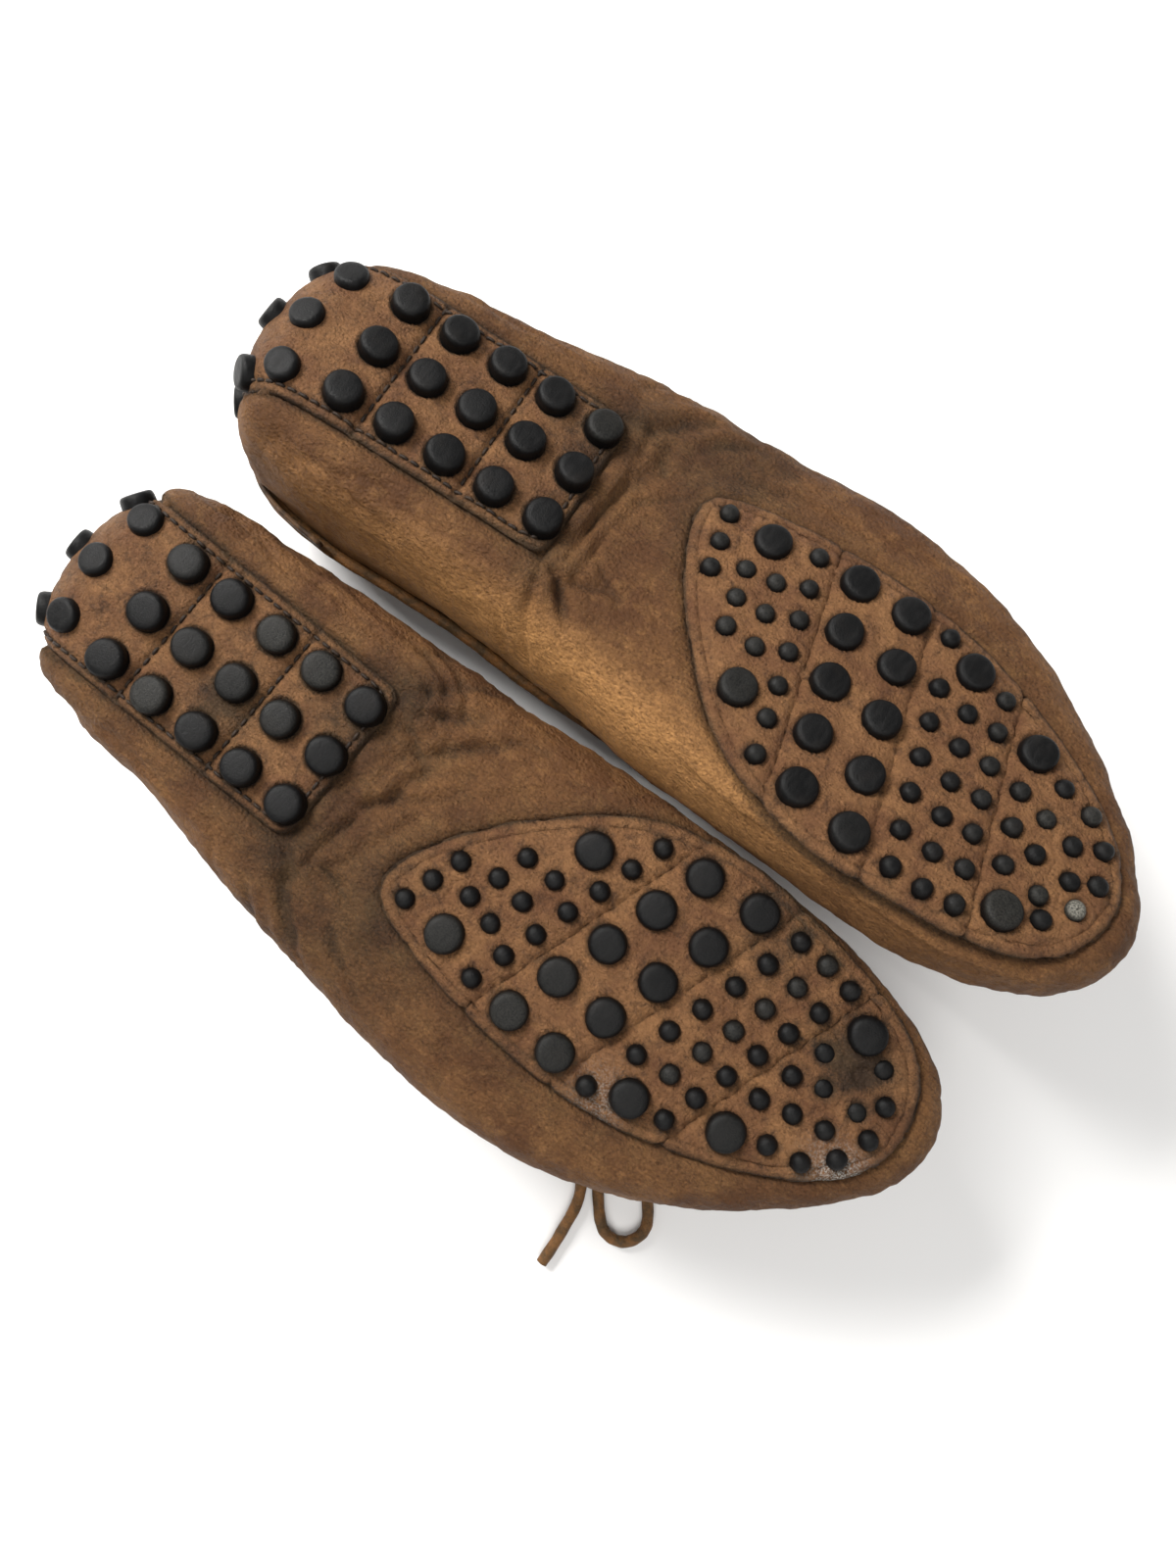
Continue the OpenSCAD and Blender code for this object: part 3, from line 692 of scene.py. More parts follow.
# Creases as seen from below, on the unrolled leather: start and end (distance from the heel,
# distance round from the middle of the sole), depth and half width.
CREASES = {
    "left": [
        (99, 27, 124, 52, 1.9, 1.6), (97, 24, 116, 12, 1.6, 1.5), (101, 22, 121, 34, 1.4, 1.3),
        (99, -26, 122, -50, 2.2, 1.8), (104, -22, 126, -30, 1.5, 1.4), (103, -8, 128, 14, 1.3, 1.4),
        (104, 6, 125, 30, 1.5, 1.4), (106, -20, 118, 20, 1.5, 1.6), (112, -24, 124, 6, 1.0, 1.2),
        (92, 34, 112, 66, 1.2, 1.5), (84, 33, 101, 58, 0.9, 1.3), (95, -34, 108, -66, 1.3, 1.6),
        (80, -33, 96, -56, 0.8, 1.2), (118, 22, 136, 40, 1.2, 1.4), (120, -32, 141, -46, 1.1, 1.3),
        (108, 40, 131, 62, 0.9, 1.2), (112, -44, 134, -68, 1.0, 1.3), (128, 34, 152, 46, 0.8, 1.2),
    ],
    "right": [
        (99, 25, 119, 37, 2.6, 1.7), (98, 26, 112, 60, 1.7, 1.6), (103, 20, 108, -18, 2.1, 1.9),
        (100, -24, 114, -40, 1.9, 1.7), (106, 30, 124, 20, 1.6, 1.5), (109, -4, 123, -18, 1.2, 1.3),
        (110, 14, 128, 26, 1.1, 1.3), (92, 36, 104, 70, 1.0, 1.5), (95, -33, 108, -62, 1.1, 1.5),
        (26, 33, 58, 42, 0.7, 1.2), (30, 38, 62, 54, 0.7, 1.2), (36, 34, 74, 40, 0.5, 1.0),
        (112, -30, 128, -42, 1.1, 1.3),
    ],
}
LUMPS = {
    "left": [(9, -30, 10, 2.6), (30, -36, 12, 1.5), (6, 30, 8, 1.6)],
    "right": [(9, 29, 9, 2.4), (8, -29, 8, 1.2)],
}


def wrap_base():
    """The wrap's outer face before its relief: the wall's grid, then the sole's cross rows."""
    v = np.linspace(0, 2, WALL_STEPS)
    wall = skin(ROWS[:, None, :], np.broadcast_to(v, (ROW_COUNT, WALL_STEPS)), 0.0)
    faces = grid_faces(ROW_COUNT, WALL_STEPS, closed_rows=True)
    verts = [wall.reshape(-1, 3)]
    girth = np.concatenate(
        (np.zeros((ROW_COUNT, 1)), np.cumsum(np.linalg.norm(np.diff(wall, axis=1), axis=2), 1)), 1
    )
    girth = np.abs(wall[:, :1, 1]) + girth
    girth = girth * np.where(wall[:, :1, 1] >= 0, 1, -1)
    values = [girth.ravel()]
    wall_v = [np.broadcast_to(v, (ROW_COUNT, WALL_STEPS)).ravel()]
    first = ROW_COUNT * WALL_STEPS
    heel, toe = HEEL_APEX * RING_STEPS, TOE_APEX * RING_STEPS
    pairs = [(i % ROW_COUNT, (2 * heel - i) % ROW_COUNT) for i in range(heel + 1, toe)]
    inner = SOLE_STEPS - 1
    index = []
    for row, (outer_row, inner_row) in enumerate(pairs):
        a, b = wall[outer_row, 0], wall[inner_row, 0]
        t = (np.arange(1, SOLE_STEPS) / SOLE_STEPS)[:, None]
        points = a + (b - a) * t
        verts.append(points)
        values.append(points[:, 1])
        wall_v.append(np.zeros(inner))
        start = first + row * inner
        index.append([outer_row * WALL_STEPS, *range(start, start + inner), inner_row * WALL_STEPS])
    for one, two in zip(index[:-1], index[1:]):
        for j in range(SOLE_STEPS):
            faces.append((one[j + 1], one[j], two[j], two[j + 1]))
    for apex, row, flip in ((heel, index[0], False), (toe, index[-1], True)):
        for j in range(SOLE_STEPS):
            f = (apex * WALL_STEPS, row[j], row[j + 1])
            faces.append(tuple(reversed(f)) if flip else f)
    faces = [tuple(reversed(f)) for f in faces]
    return np.concatenate(verts), faces, np.concatenate(values), np.concatenate(wall_v)


def crease_field(u, g, side):
    """How far each point of the unrolled leather sinks into the creases."""
    total = np.zeros(len(u))
    warp = hash_noise(np.stack((u, g, u * 0), 1), 14, 3.1) * 3.0
    for x0, g0, x1, g1, depth, width in CREASES[side]:
        ax, ag = x1 - x0, g1 - g0
        long = ax * ax + ag * ag
        t = np.clip(((u - x0) * ax + (g + warp - g0) * ag) / long, 0, 1)
        gap = np.hypot(u - x0 - t * ax, g + warp - g0 - t * ag)
        taper = np.sqrt(np.maximum(np.sin(math.pi * np.clip(t, 0.02, 0.98)), 0))
        total += depth * taper * (bell(gap, width) - 0.32 * bell(gap - width * 2.3, width * 1.5))
    return total


# Folds that run round a patch: patch, distance out, half width, depth, and the x and y spans.
FOLDS = {
    "left": [
        ("heel", 7.5, 1.0, 1.1, (10, 112), (8, 60)), ("heel", 12.5, 1.3, 1.0, (30, 118), (14, 60)),
        ("heel", 17.0, 1.5, 0.7, (60, 122), (14, 60)), ("heel", 6.0, 0.9, 0.9, (88, 108), (-40, 20)),
        ("heel", 10.5, 1.1, 1.0, (96, 114), (-44, 24)), ("heel", 8.0, 1.1, 0.8, (18, 100), (-60, -20)),
        ("fore", 6.5, 1.0, 0.7, (118, 196), (-60, -16)), ("fore", 10.0, 1.1, 0.7, (124, 188), (-60, -20)),
        ("fore", 13.5, 1.2, 0.6, (128, 180), (-60, -20)), ("fore", 8.0, 1.0, 0.7, (122, 165), (4, 60)),
    ],
    "right": [
        ("heel", 8.0, 1.1, 0.9, (14, 104), (12, 60)), ("heel", 7.0, 1.1, 1.3, (94, 112), (-30, 34)),
        ("heel", 13.0, 1.5, 1.1, (98, 118), (-30, 34)), ("heel", 7.0, 1.0, 0.6, (20, 100), (-60, -20)),
        ("fore", 8.0, 1.2, 0.6, (122, 160), (0, 60)), ("fore", 9.0, 1.2, 0.6, (120, 170), (-60, -14)),
    ],
}


def fold_field(x, y, d_heel, d_fore, side):
    """Depth of the folds that run beside the patches' edges."""
    total = np.zeros(len(x))
    flat = np.stack((x, y, x * 0), 1)
    warp = hash_noise(flat, 22, 6.3, 3) * 2.6 + hash_noise(flat, 6, 2.9, 2) * 0.7
    fade = 0.55 + 0.6 * hash_noise(flat, 16, 8.8, 2)
    for patch, out, width, depth, (x0, x1), (y0, y1) in FOLDS[side]:
        d = d_heel if patch == "heel" else d_fore
        inside = np.clip(np.minimum(x - x0, x1 - x) / 8, 0, 1)
        inside = inside * np.clip(np.minimum(y - y0, y1 - y) / 6, 0, 1)
        gap = d - out + warp
        groove = bell(gap, width) - 0.45 * bell(gap - 2.2 * width, width * 1.4)
        total += 1.55 * depth * inside * np.clip(fade, 0, 1.2) * groove
    return total


def make_wrap(side):
    """One wrap of tan leather: puffed beside the patches, creased at the waist, grimy, with painted shade
    and a painted highlight on its walls.
    """
    verts, faces, girth, v = wrap_base()
    x, y = verts[:, 0], verts[:, 1]
    seed = 0.0 if side == "left" else 11.3
    n = normals_of(verts, faces)
    # The sole is flat. Beside the heel's apex its points lie too close for a sure normal.
    n[ROW_COUNT * WALL_STEPS:] = (0.0, 0.0, -1.0)
    low = np.clip(1.75 - v, 0, 1)
    d_heel = heel_distance(x, y)
    d_heel = np.where((v > 0.9) & (x > 40), 99, d_heel)
    d_fore = -outline_distance(verts, FORE_OUTLINE)[0]
    d_fore = np.where(v > 0.6, 40, d_fore)
    broad = hash_noise(verts, 34, seed)
    middle = hash_noise(verts, 12, seed + 5, 4)
    fine = hash_noise(verts * (1, 1, 0.8), 4.5, seed + 9, 3)
    roll = 1 + 0.35 * broad + 0.10 * middle
    # Painted highlight on the inner wall that faces the light. On the right shoe it is paler towards the
    # top of the wall and fades as the wall curves under to the sole. On the left, whose inner wall lies
    # in the right shoe's shade, it is only slight. It also thins the wrinkles and grime there.
    if side == "left":
        painted_highlight = 0.10 * (girth > 50)
    else:
        painted_highlight = np.clip((girth - 34) / 12, 0, 1) * bell(x - 120, 80)
    lift = puff(d_heel, 1.9, 11) * roll * low
    lift = np.maximum(lift, puff(d_fore, 1.7, 9) * roll)
    lift -= fold_field(x, y, d_heel, d_fore, side) * low
    lift += 0.5 * broad + 0.34 * middle * np.clip(v + 0.45, 0, 1) * (1 - 0.5 * painted_highlight)
    ridges = 1 - np.abs(hash_noise(verts * (0.55, 1, 1), 7, seed + 2, 3)) * 2
    lift -= 0.40 * np.clip(ridges, 0, 1) * (v < 1.9) * (1 - 0.6 * painted_highlight)
    lift += 0.22 * fine
    waist = bell(x - 112, 20) * (np.abs(girth) < 75)
    across = 1 - np.abs(hash_noise(np.stack((x * 1.1, girth * 0.45, v), 1), 6, seed + 4, 3)) * 2.2
    lift -= 0.42 * np.clip(across, 0, 1) * waist
    lift -= crease_field(x, girth, side) * (1 - 0.65 * np.clip(2 * v - 0.3, 0, 1))
    for lx, ly, reach, height in LUMPS[side]:
        far = np.hypot(x - lx, y - ly)
        lift += height * bell(far, reach) * (v > 0.1) * (v < 1.6)
    under = (d_heel < 0.4) | (d_fore < 0.4)
    covered = np.clip(-np.minimum(d_heel, d_fore) / 3, 0, 1)
    lift = np.where(under, np.minimum(lift, -PATCH_EDGE_SINK - PATCH_SINK * covered), lift)
    edge = np.clip((2 - v) / 0.12, 0, 1)
    lift = np.maximum(lift * edge, -DEEPEST)
    verts = verts + n * lift[:, None]
    band = bell(np.maximum(np.minimum(d_heel, d_fore) - 1, 0), 8) * low
    corner = bell(np.hypot(x - 128, y + 32), 19) + 0.8 * bell(np.hypot(x - 99, np.abs(y) - 27), 13)
    grime_and_shade = 0.34 * band + 0.30 * bell(x - 113, 19) * bell(girth, 46) + 0.42 * corner
    # Darker the deeper the leather sinks into its creases and folds, and in a narrow line along the
    # patches' edges.
    grime_and_shade += 0.34 * np.clip(-lift, 0, 1.2)
    grime_and_shade += 0.6 * bell(np.maximum(np.minimum(d_heel, d_fore) - 0.2, 0), 0.9) * (v < 1.5)
    grime_and_shade -= 0.26 * bell(x - 262, 46) * np.clip(1.5 * v, 0, 1)
    if side == "left":
        # Painted shadow: the last term darkens the left's inner wall by the toe, where the right shoe
        # lies over it.
        grime_and_shade += 0.10 + 0.14 * bell(girth + 42, 16) + 0.22 * bell(np.hypot(x - 210, y - 44), 30)
    else:
        # Less grime where the highlight is painted.
        grime_and_shade -= 0.5 * painted_highlight
        grime_and_shade += 0.10 * bell(girth + 40, 14)
    grime_and_shade = np.clip(grime_and_shade, 0, 1.0)
    sheet, all_faces = thicken(verts, faces, WRAP_SHEET)
    fields = {
        "grime_and_shade": np.tile(grime_and_shade, 2), "painted_highlight": np.tile(np.broadcast_to(painted_highlight, len(verts)), 2),
    }
    return piece(
        "wrap", (sheet, all_faces), side, "both", "wrap", ("fore_wrap", "rear_wrap"), fields
    )


for side in SIDES:
    make_wrap(side)

# ---- the sole patches ------------------------------------------------------------------------

PATCH_FACE = 2.0
EDGE_STITCH = 2.7
# Height of a patch's cut edge, how wide that edge is, and how thick the patch is.
RIM_HEIGHT = 0.7
RIM_WIDTH = 0.15
PATCH_SHEET = 1.3


def fore_pebbles(k):
    """Places of one panel's pebbles: x, y and whether large."""
    out = [
        (c[0] + i * c[2] * math.sin(ROW_SLANT), c[1] + i * c[2] * math.cos(ROW_SLANT), c[4])
        for c in PANELS[k]
        for i in range(c[3])
    ]
    if k == 3:
        out += [
            (c[0] + c[2] * math.cos(math.radians(c[3] + i * c[4])),
             c[1] + c[2] * math.sin(math.radians(c[3] + i * c[4])), 0)
            for c in TOE_ARCS
            for i in range(c[5])
        ]
    return out


def heel_pebbles(k):
    return [
        (HEEL_FIRST + r * HEEL_PITCH, c * HEEL_SPREAD, 1)
        for r in range(HEEL_ROWS[k][0], HEEL_ROWS[k][1] + 1)
        for c in (-1, 0, 1)
    ]


def patch_height(u, w, inside, along, lines, pebbles, seed):
    """Height of a patch's worn face over the wrap, and where it is pinched."""
    flat = np.stack((u, w, u * 0), 1)
    bump = hash_noise(flat, 9, seed, 3)
    line_gap = np.full(len(u), 99.0)
    line_along = np.zeros(len(u))
    for gap, place_along in lines:
        nearer = np.abs(gap) < line_gap
        line_gap = np.where(nearer, np.abs(gap), line_gap)
        line_along = np.where(nearer, place_along, line_along)
    seam = np.minimum(line_gap, np.abs(inside - EDGE_STITCH))
    h = PATCH_FACE + 0.42 * bump + 0.18 * hash_noise(flat, 2.6, seed + 1, 2)
    h -= 1.35 * bell(np.maximum(inside, 0), 1.1)
    h -= 0.75 * bell(inside - EDGE_STITCH, 0.8)
    h -= 1.15 * bell(line_gap, 0.95)
    h += 0.55 * (1 - bell(seam, 4.5))
    h += 0.27 * np.exp(-line_gap / 3.0) * np.sin(line_along * 2 * math.pi / 3.3 + 2 * bump)
    h += 0.18 * np.exp(-np.abs(inside - EDGE_STITCH) / 2.2) * np.sin(along * 2 * math.pi / 3.2)
    near = np.full(len(u), 99.0)
    for px, py, large in pebbles:
        radius = (LARGE_D if large else SMALL_D) / 2
        near = np.minimum(near, np.hypot(u - px, w - py) - radius)
    h += 0.50 * bell(near - 0.9, 0.9)
    h -= 0.7 * bell(np.maximum(near, 0), 0.35)
    return h, seam, near


def fore_lines(u, w):
    """Distance from each forefoot stitch line and the place along it."""
    c, s = math.cos(ROW_SLANT), math.sin(ROW_SLANT)
    return [((u - x0) * c - w * s, w * c + (u - x0) * s) for x0 in FORE_LINES]


def rows_between(outline, count, columns):
    """A grid that fills an outline whose every cross-section is one span."""
    a = np.asarray(outline)
    b = np.roll(a, -1, 0)
    x0, x1 = a[:, 0].min() + 0.02, a[:, 0].max() - 0.02
    grid = []
    for i in range(count):
        x = x0 + (x1 - x0) * (1 - math.cos(math.pi * i / (count - 1))) / 2
        hit = (a[:, 0] > x) != (b[:, 0] > x)
        ys = a[hit, 1] + (b[hit, 1] - a[hit, 1]) * (x - a[hit, 0]) / (b[hit, 0] - a[hit, 0])
        grid.append([(x, y) for y in np.linspace(ys.min(), ys.max(), columns)])
    return np.array(grid)


FORE_PEBBLES = [p for k in range(4) for p in fore_pebbles(k)]
HEEL_PEBBLES = [p for k in range(3) for p in heel_pebbles(k)]
# Where the left forefoot has lost a small pebble, and the sticky residue round it.
LOST = (254.0, 22.0)


def fore_relief(u, w, side):
    p = np.stack((u, w), 1)
    inside, along = outline_distance(p, FORE_OUTLINE)
    seed = 21.0 if side == "left" else 33.0
    h, seam, near = patch_height(u, w, inside, along, fore_lines(u, w), FORE_PEBBLES, seed)
    if side == "left":
        flat = np.stack((u + w, u - w, u * 0), 1)
        quilt = 1 - np.abs(hash_noise(flat * (1, 0.35, 1), 6, 44, 2)) * 2.4
        h -= 0.60 * np.clip(quilt, 0, 1) * bell(u - w * 0.3 - 219, 16)
    return h, inside, seam, near


def patch_darkening(inside, seam, near):
    """Darker along a patch's edge and in its stitched grooves, and painted shade in the gap round each
    pebble.
    """
    return (
        0.20 * bell(np.maximum(inside, 0), 3.0) + 0.75 * bell(np.maximum(inside, 0), 0.8)
        + 0.44 * bell(seam, 0.6) + 0.85 * bell(np.maximum(near, 0), 0.6) + 0.05
    )


def make_fore_patch(side):
    grid = rows_between(FORE_OUTLINE, 190, 84)
    u, w = grid[..., 0].ravel(), grid[..., 1].ravel()
    h, inside, seam, near = fore_relief(u, w, side)
    h = np.where(inside < RIM_WIDTH, RIM_HEIGHT, h)
    verts = np.stack((u, w, -h), 1)
    faces = grid_faces(grid.shape[0], grid.shape[1])
    faces = [tuple(reversed(f)) for f in faces]
    grime_and_shade = patch_darkening(inside, seam, near)
    grime_and_shade += 0.2 * bell(np.hypot(u - 130, w + 12), 12)
    dust = 0.0 * u
    if side == "left":
        residue = bell(np.hypot((u - 251) * 0.8, w - 24), 9)
        # Painted shadow: the last term darkens the patch's inner edge, where the right shoe lies over it.
        grime_and_shade += 1.1 * residue + 0.08 + 0.45 * bell(np.hypot(u - 215, w - 40), 16)
        dust = 0.9 * bell(np.hypot(u - 266, (w + 1) * 1.3), 8)
        dust = dust + 0.35 * bell(np.hypot(u - 205, w + 24), 7)
    sheet, faces = thicken(verts, faces, PATCH_SHEET)
    fields = {"grime_and_shade": np.tile(np.clip(grime_and_shade, 0, 1.3), 2), "dust": np.tile(dust, 2)}
    return piece("fore_sole_patch", (sheet, faces), side, "fore", "patch", ("fore_patch",), fields)


# The heel cover follows the flat sole back from its front edge and then curves up the heel.
COVER_STEPS = 150
COVER_COLUMNS = 64
COVER_TOP = 1.62


def heel_columns():
    """Outer face under the heel cover: for each column across, a line from front to top."""
    v = np.linspace(0.0, COVER_TOP, 60)
    back = ROWS[int(3.2 * RING_STEPS):int(8.8 * RING_STEPS)]
    wall = skin(back[:, None, :], np.broadcast_to(v, (len(back), len(v))), 0.0)
    columns = []
    for c in np.linspace(-HEEL_HALF, HEEL_HALF, COVER_COLUMNS) + 0.5:
        line = []
        for j in range(len(v)):
            y = wall[:, j, 1]
            order = np.argsort(y)
            point = [np.interp(c, y[order], wall[order, j, k]) for k in range(3)]
            line.append((point[0], c, point[2]))
        line = np.array(line)
        flat = np.array([(x, c, 0.0) for x in np.linspace(HEEL_FRONT, line[0, 0] + 0.5, 60)])
        line = np.concatenate((flat, line))
        lengths = np.concatenate(([0], np.cumsum(np.linalg.norm(np.diff(line, axis=0), axis=1))))
        columns.append((line, lengths))
    reach = min(lengths[-1] for _, lengths in columns)
    s = np.linspace(0, reach, COVER_STEPS)
    grid = np.stack([
        np.stack([np.interp(s, lengths, line[:, k]) for k in range(3)], 1)
        for line, lengths in columns
    ], 1)
    return s, grid


COVER_S, COVER_GRID = heel_columns()
COVER_N = normals_of(
    COVER_GRID.reshape(-1, 3), grid_faces(COVER_STEPS, COVER_COLUMNS)
).reshape(COVER_GRID.shape)
if COVER_N[5, COVER_COLUMNS // 2, 2] > 0:
    COVER_N = -COVER_N


def heel_point(s, c):
    """Place and outward normal on the outer face under the heel cover."""
    i = np.clip(s / COVER_S[-1] * (COVER_STEPS - 1), 0, COVER_STEPS - 1.001)
    j = np.clip((c + HEEL_HALF) / (2 * HEEL_HALF) * (COVER_COLUMNS - 1), 0, COVER_COLUMNS - 1.001)
    i0, j0 = i.astype(int), j.astype(int)
    a, b = (i - i0)[:, None], (j - j0)[:, None]
    out = []
    for grid in (COVER_GRID, COVER_N):
        out.append(
            grid[i0, j0] * (1 - a) * (1 - b) + grid[i0 + 1, j0] * a * (1 - b)
            + grid[i0, j0 + 1] * (1 - a) * b + grid[i0 + 1, j0 + 1] * a * b
        )
    out[1] /= np.linalg.norm(out[1], axis=1, keepdims=True)
    return out


def cover_half(s):
    """Half the cover's width at s, with rounded front corners."""
    corner = 5.0
    t = np.clip(corner - s, 0, corner)
    return HEEL_HALF - (corner - np.sqrt(np.maximum(corner**2 - t**2, 0)))


COVER_OUTLINE = np.concatenate((
    [(s, cover_half(s)) for s in (0.0, 0.5, 1.5, 3.0, 5.0)],
    [(s, HEEL_HALF) for s in np.linspace(12, COVER_S[-1] + 6, 10)],
    [(s, -HEEL_HALF) for s in np.linspace(COVER_S[-1] + 6, 12, 10)],
    [(s, -cover_half(s)) for s in (5.0, 3.0, 1.5, 0.5, 0.0)],
))
COVER_LINES = [
    HEEL_FRONT - (HEEL_FIRST + (k - 0.5) * HEEL_PITCH) for k in (3, 1)
]


def cover_pebbles():
    """Pebbles of the flat part on the cover's own plane."""
    return [(HEEL_FRONT - x, y - 0.5, large) for x, y, large in HEEL_PEBBLES]


def cover_relief(s, c, side):
    inside, along = outline_distance(np.stack((s, c), 1), COVER_OUTLINE)
    lines = [(s - at, c) for at in COVER_LINES]
    seed = 52.0 if side == "left" else 61.0
    h, seam, near = patch_height(s, c, inside, along, lines, cover_pebbles(), seed)
    h -= 0.5 * np.clip((s - 76) / 20, 0, 1)
    return h, inside, seam, near


def make_heel_cover(side):
    s = np.repeat(COVER_S, COVER_COLUMNS)
    c = np.tile(np.linspace(-1, 1, COVER_COLUMNS), COVER_STEPS) * cover_half(s)
    base, normal = heel_point(s, c)
    h, inside, seam, near = cover_relief(s, c, side)
    h = np.where(inside < RIM_WIDTH, RIM_HEIGHT, h)
    verts = base + normal * h[:, None]
    faces = grid_faces(COVER_STEPS, COVER_COLUMNS)
    if normals_of(verts, faces)[COVER_COLUMNS * 20 + 30, 2] > 0:
        faces = [tuple(reversed(f)) for f in faces]
    grime_and_shade = patch_darkening(inside, seam, near)
    grime_and_shade += 0.24 + 0.2 * np.clip((s - 82) / 20, 0, 1)
    if side == "left":
        grime_and_shade += 0.05 + 0.9 * bell(np.hypot(s - 36, c + 6), 8) + 0.5 * bell(np.hypot(s - 8, c - 12), 10)
    else:
        grime_and_shade += 0.6 * bell(np.hypot(s - 4, c + 14), 12) + 0.4 * bell(np.hypot(s - 5, c - 18), 9)
    sheet, faces = thicken(verts, faces, PATCH_SHEET)
    fields = {"grime_and_shade": np.tile(np.clip(grime_and_shade, 0, 1.3), 2), "dust": np.zeros(2 * len(verts))}
    return piece(
        "heel_sole_cover", (sheet, faces), side, "rear", "patch", ("heel_patch", "heel_strip"), fields
    )


for side in SIDES:
    make_fore_patch(side)
    make_heel_cover(side)

# ---- stitches --------------------------------------------------------------------------------

STITCH_PITCH = 3.3
STITCH_LENGTH = 2.4
STITCH_D = 0.95


def resample(line, pitch):
    line = np.asarray(line, float)
    lengths = np.concatenate(([0], np.cumsum(np.linalg.norm(np.diff(line, axis=0), axis=1))))
    count = max(int(lengths[-1] / pitch), 2)
    s = np.linspace(0, lengths[-1], count)
    return np.stack([np.interp(s, lengths, line[:, k]) for k in range(line.shape[1])], 1)


def inset_outline(outline, distance):
    """An outline moved inwards."""
    a = np.asarray(outline, float)
    t = np.roll(a, -1, 0) - np.roll(a, 1, 0)
    t /= np.linalg.norm(t, axis=1, keepdims=True)
    area = (a[:, 0] * np.roll(a[:, 1], -1) - np.roll(a[:, 0], -1) * a[:, 1]).sum()
    side = 1 if area > 0 else -1
    return a + np.stack((-t[:, 1], t[:, 0]), 1) * distance * side


def stitch_row(line, lift):
    """Stitches along a line of a patch's own plane. lift gives place and normal on its face."""
    middle = resample(line, STITCH_PITCH)
    step = np.gradient(middle, axis=0)
    step /= np.maximum(np.linalg.norm(step, axis=1, keepdims=True), 1e-9)
    made = []
    for centre, way in zip(middle[:-1], step[:-1]):
        t = np.linspace(-1, 1, 7)
        spots = centre + way * (t * STITCH_LENGTH / 2)[:, None]
        base, normal = lift(spots[:, 0], spots[:, 1])
        base = base.mean(0) + (base[-1] - base[0]) * t[:, None] / 2
        arch = base + normal * ((0.80 * (1 - t**4) - 0.25)[:, None])
        made.append(tube_mesh(arch, STITCH_D / 2, 6))
    return made


def fore_lift(side):
    def lift(u, w):
        h = fore_relief(u, w, side)[0]
        return np.stack((u, w, -h), 1), np.tile((0.0, 0.0, -1.0), (len(u), 1))
    return lift


def cover_lift(side):
    def lift(s, c):
        base, normal = heel_point(s, c)
        return base + normal * cover_relief(s, c, side)[0][:, None], normal
    return lift


def make_stitches(side):
    ring = inset_outline(smooth_ring(FORE_PATCH, 8), EDGE_STITCH)
    rows = stitch_row(np.concatenate((ring, ring[:1])), fore_lift(side))
    inner = inset_outline(FORE_OUTLINE, EDGE_STITCH)
    for x0 in FORE_LINES:
        w = np.linspace(-40, 60, 400)
        line = np.stack((x0 + w * math.tan(ROW_SLANT), w), 1)
        line = line[outline_distance(line, inner)[0] > 0.5]
        rows += stitch_row(line, fore_lift(side))
    piece("fore_stitching", join(rows), side, "fore", "thread")
    half = HEEL_HALF - EDGE_STITCH
    end = COVER_S[-1] - 2
    edge = [(end, half), (8, half), (EDGE_STITCH + 1.2, half - 1.2), (EDGE_STITCH, half - 5)]
    edge += [(s, -c) for s, c in reversed(edge)]
    rows = stitch_row(resample(edge, 0.8), cover_lift(side))
    for at in COVER_LINES:
        rows += stitch_row([(at, -half), (at, half)], cover_lift(side))
    piece("heel_stitching", join(rows), side, "rear", "thread")


for side in SIDES:
    make_stitches(side)

# ---- pebbles ---------------------------------------------------------------------------------

# Cross-section of a pebble from its root to the middle of its face, for a radius and height of 1.
LARGE_PROFILE = [
    (1.00, -0.55), (1.01, 0.05), (1.0, 0.45), (0.985, 0.68), (0.945, 0.83), (0.875, 0.935),
    (0.77, 0.985), (0.60, 1.005), (0.35, 1.015), (0.12, 1.02),
]
SMALL_PROFILE = [
    (0.98, -0.60), (1.0, 0.05), (0.985, 0.35), (0.94, 0.58), (0.85, 0.77), (0.71, 0.90),
    (0.52, 0.98), (0.28, 1.02), (0.10, 1.03),
]
PEBBLE_SIDES = 32


def pebble(base, normal, radius, height, profile_points, worn, phase):
    """One pebble as a turned solid, a little out of true, with its face worn at a slope."""
    z = np.asarray(normal, float) / np.linalg.norm(normal)
    x = np.cross(z, (0.31, 0.95, 0.05))
    x /= np.linalg.norm(x)
    y = np.cross(z, x)
    a = np.arange(PEBBLE_SIDES) * 2 * math.pi / PEBBLE_SIDES
    verts, wear = [], []
    for r, h in profile_points:
        out = r * radius * (1 + 0.012 * np.sin(2 * a + phase) + 0.008 * np.sin(3 * a + 2 * phase))
        slope = worn * np.cos(a + phase * 2) * r
        up = h * height + np.where(h > 0.5, slope, 0) * (h - 0.5)
        round_it = np.cos(a)[:, None] * x + np.sin(a)[:, None] * y
        verts.append(base + out[:, None] * round_it + up[:, None] * z)
        wear += [np.clip((h - 0.72) / 0.2, 0, 1)] * PEBBLE_SIDES
    verts.append((base + z * height * profile_points[-1][1])[None])
    wear.append(1.0)
    faces = grid_faces(len(profile_points), PEBBLE_SIDES, closed_columns=True)
    top = (len(profile_points) - 1) * PEBBLE_SIDES
    last = len(profile_points) * PEBBLE_SIDES
    faces += [(top + j, top + (j + 1) % PEBBLE_SIDES, last) for j in range(PEBBLE_SIDES)]
    faces += [tuple(range(PEBBLE_SIDES - 1, -1, -1))]
    return np.concatenate(verts), faces, wear


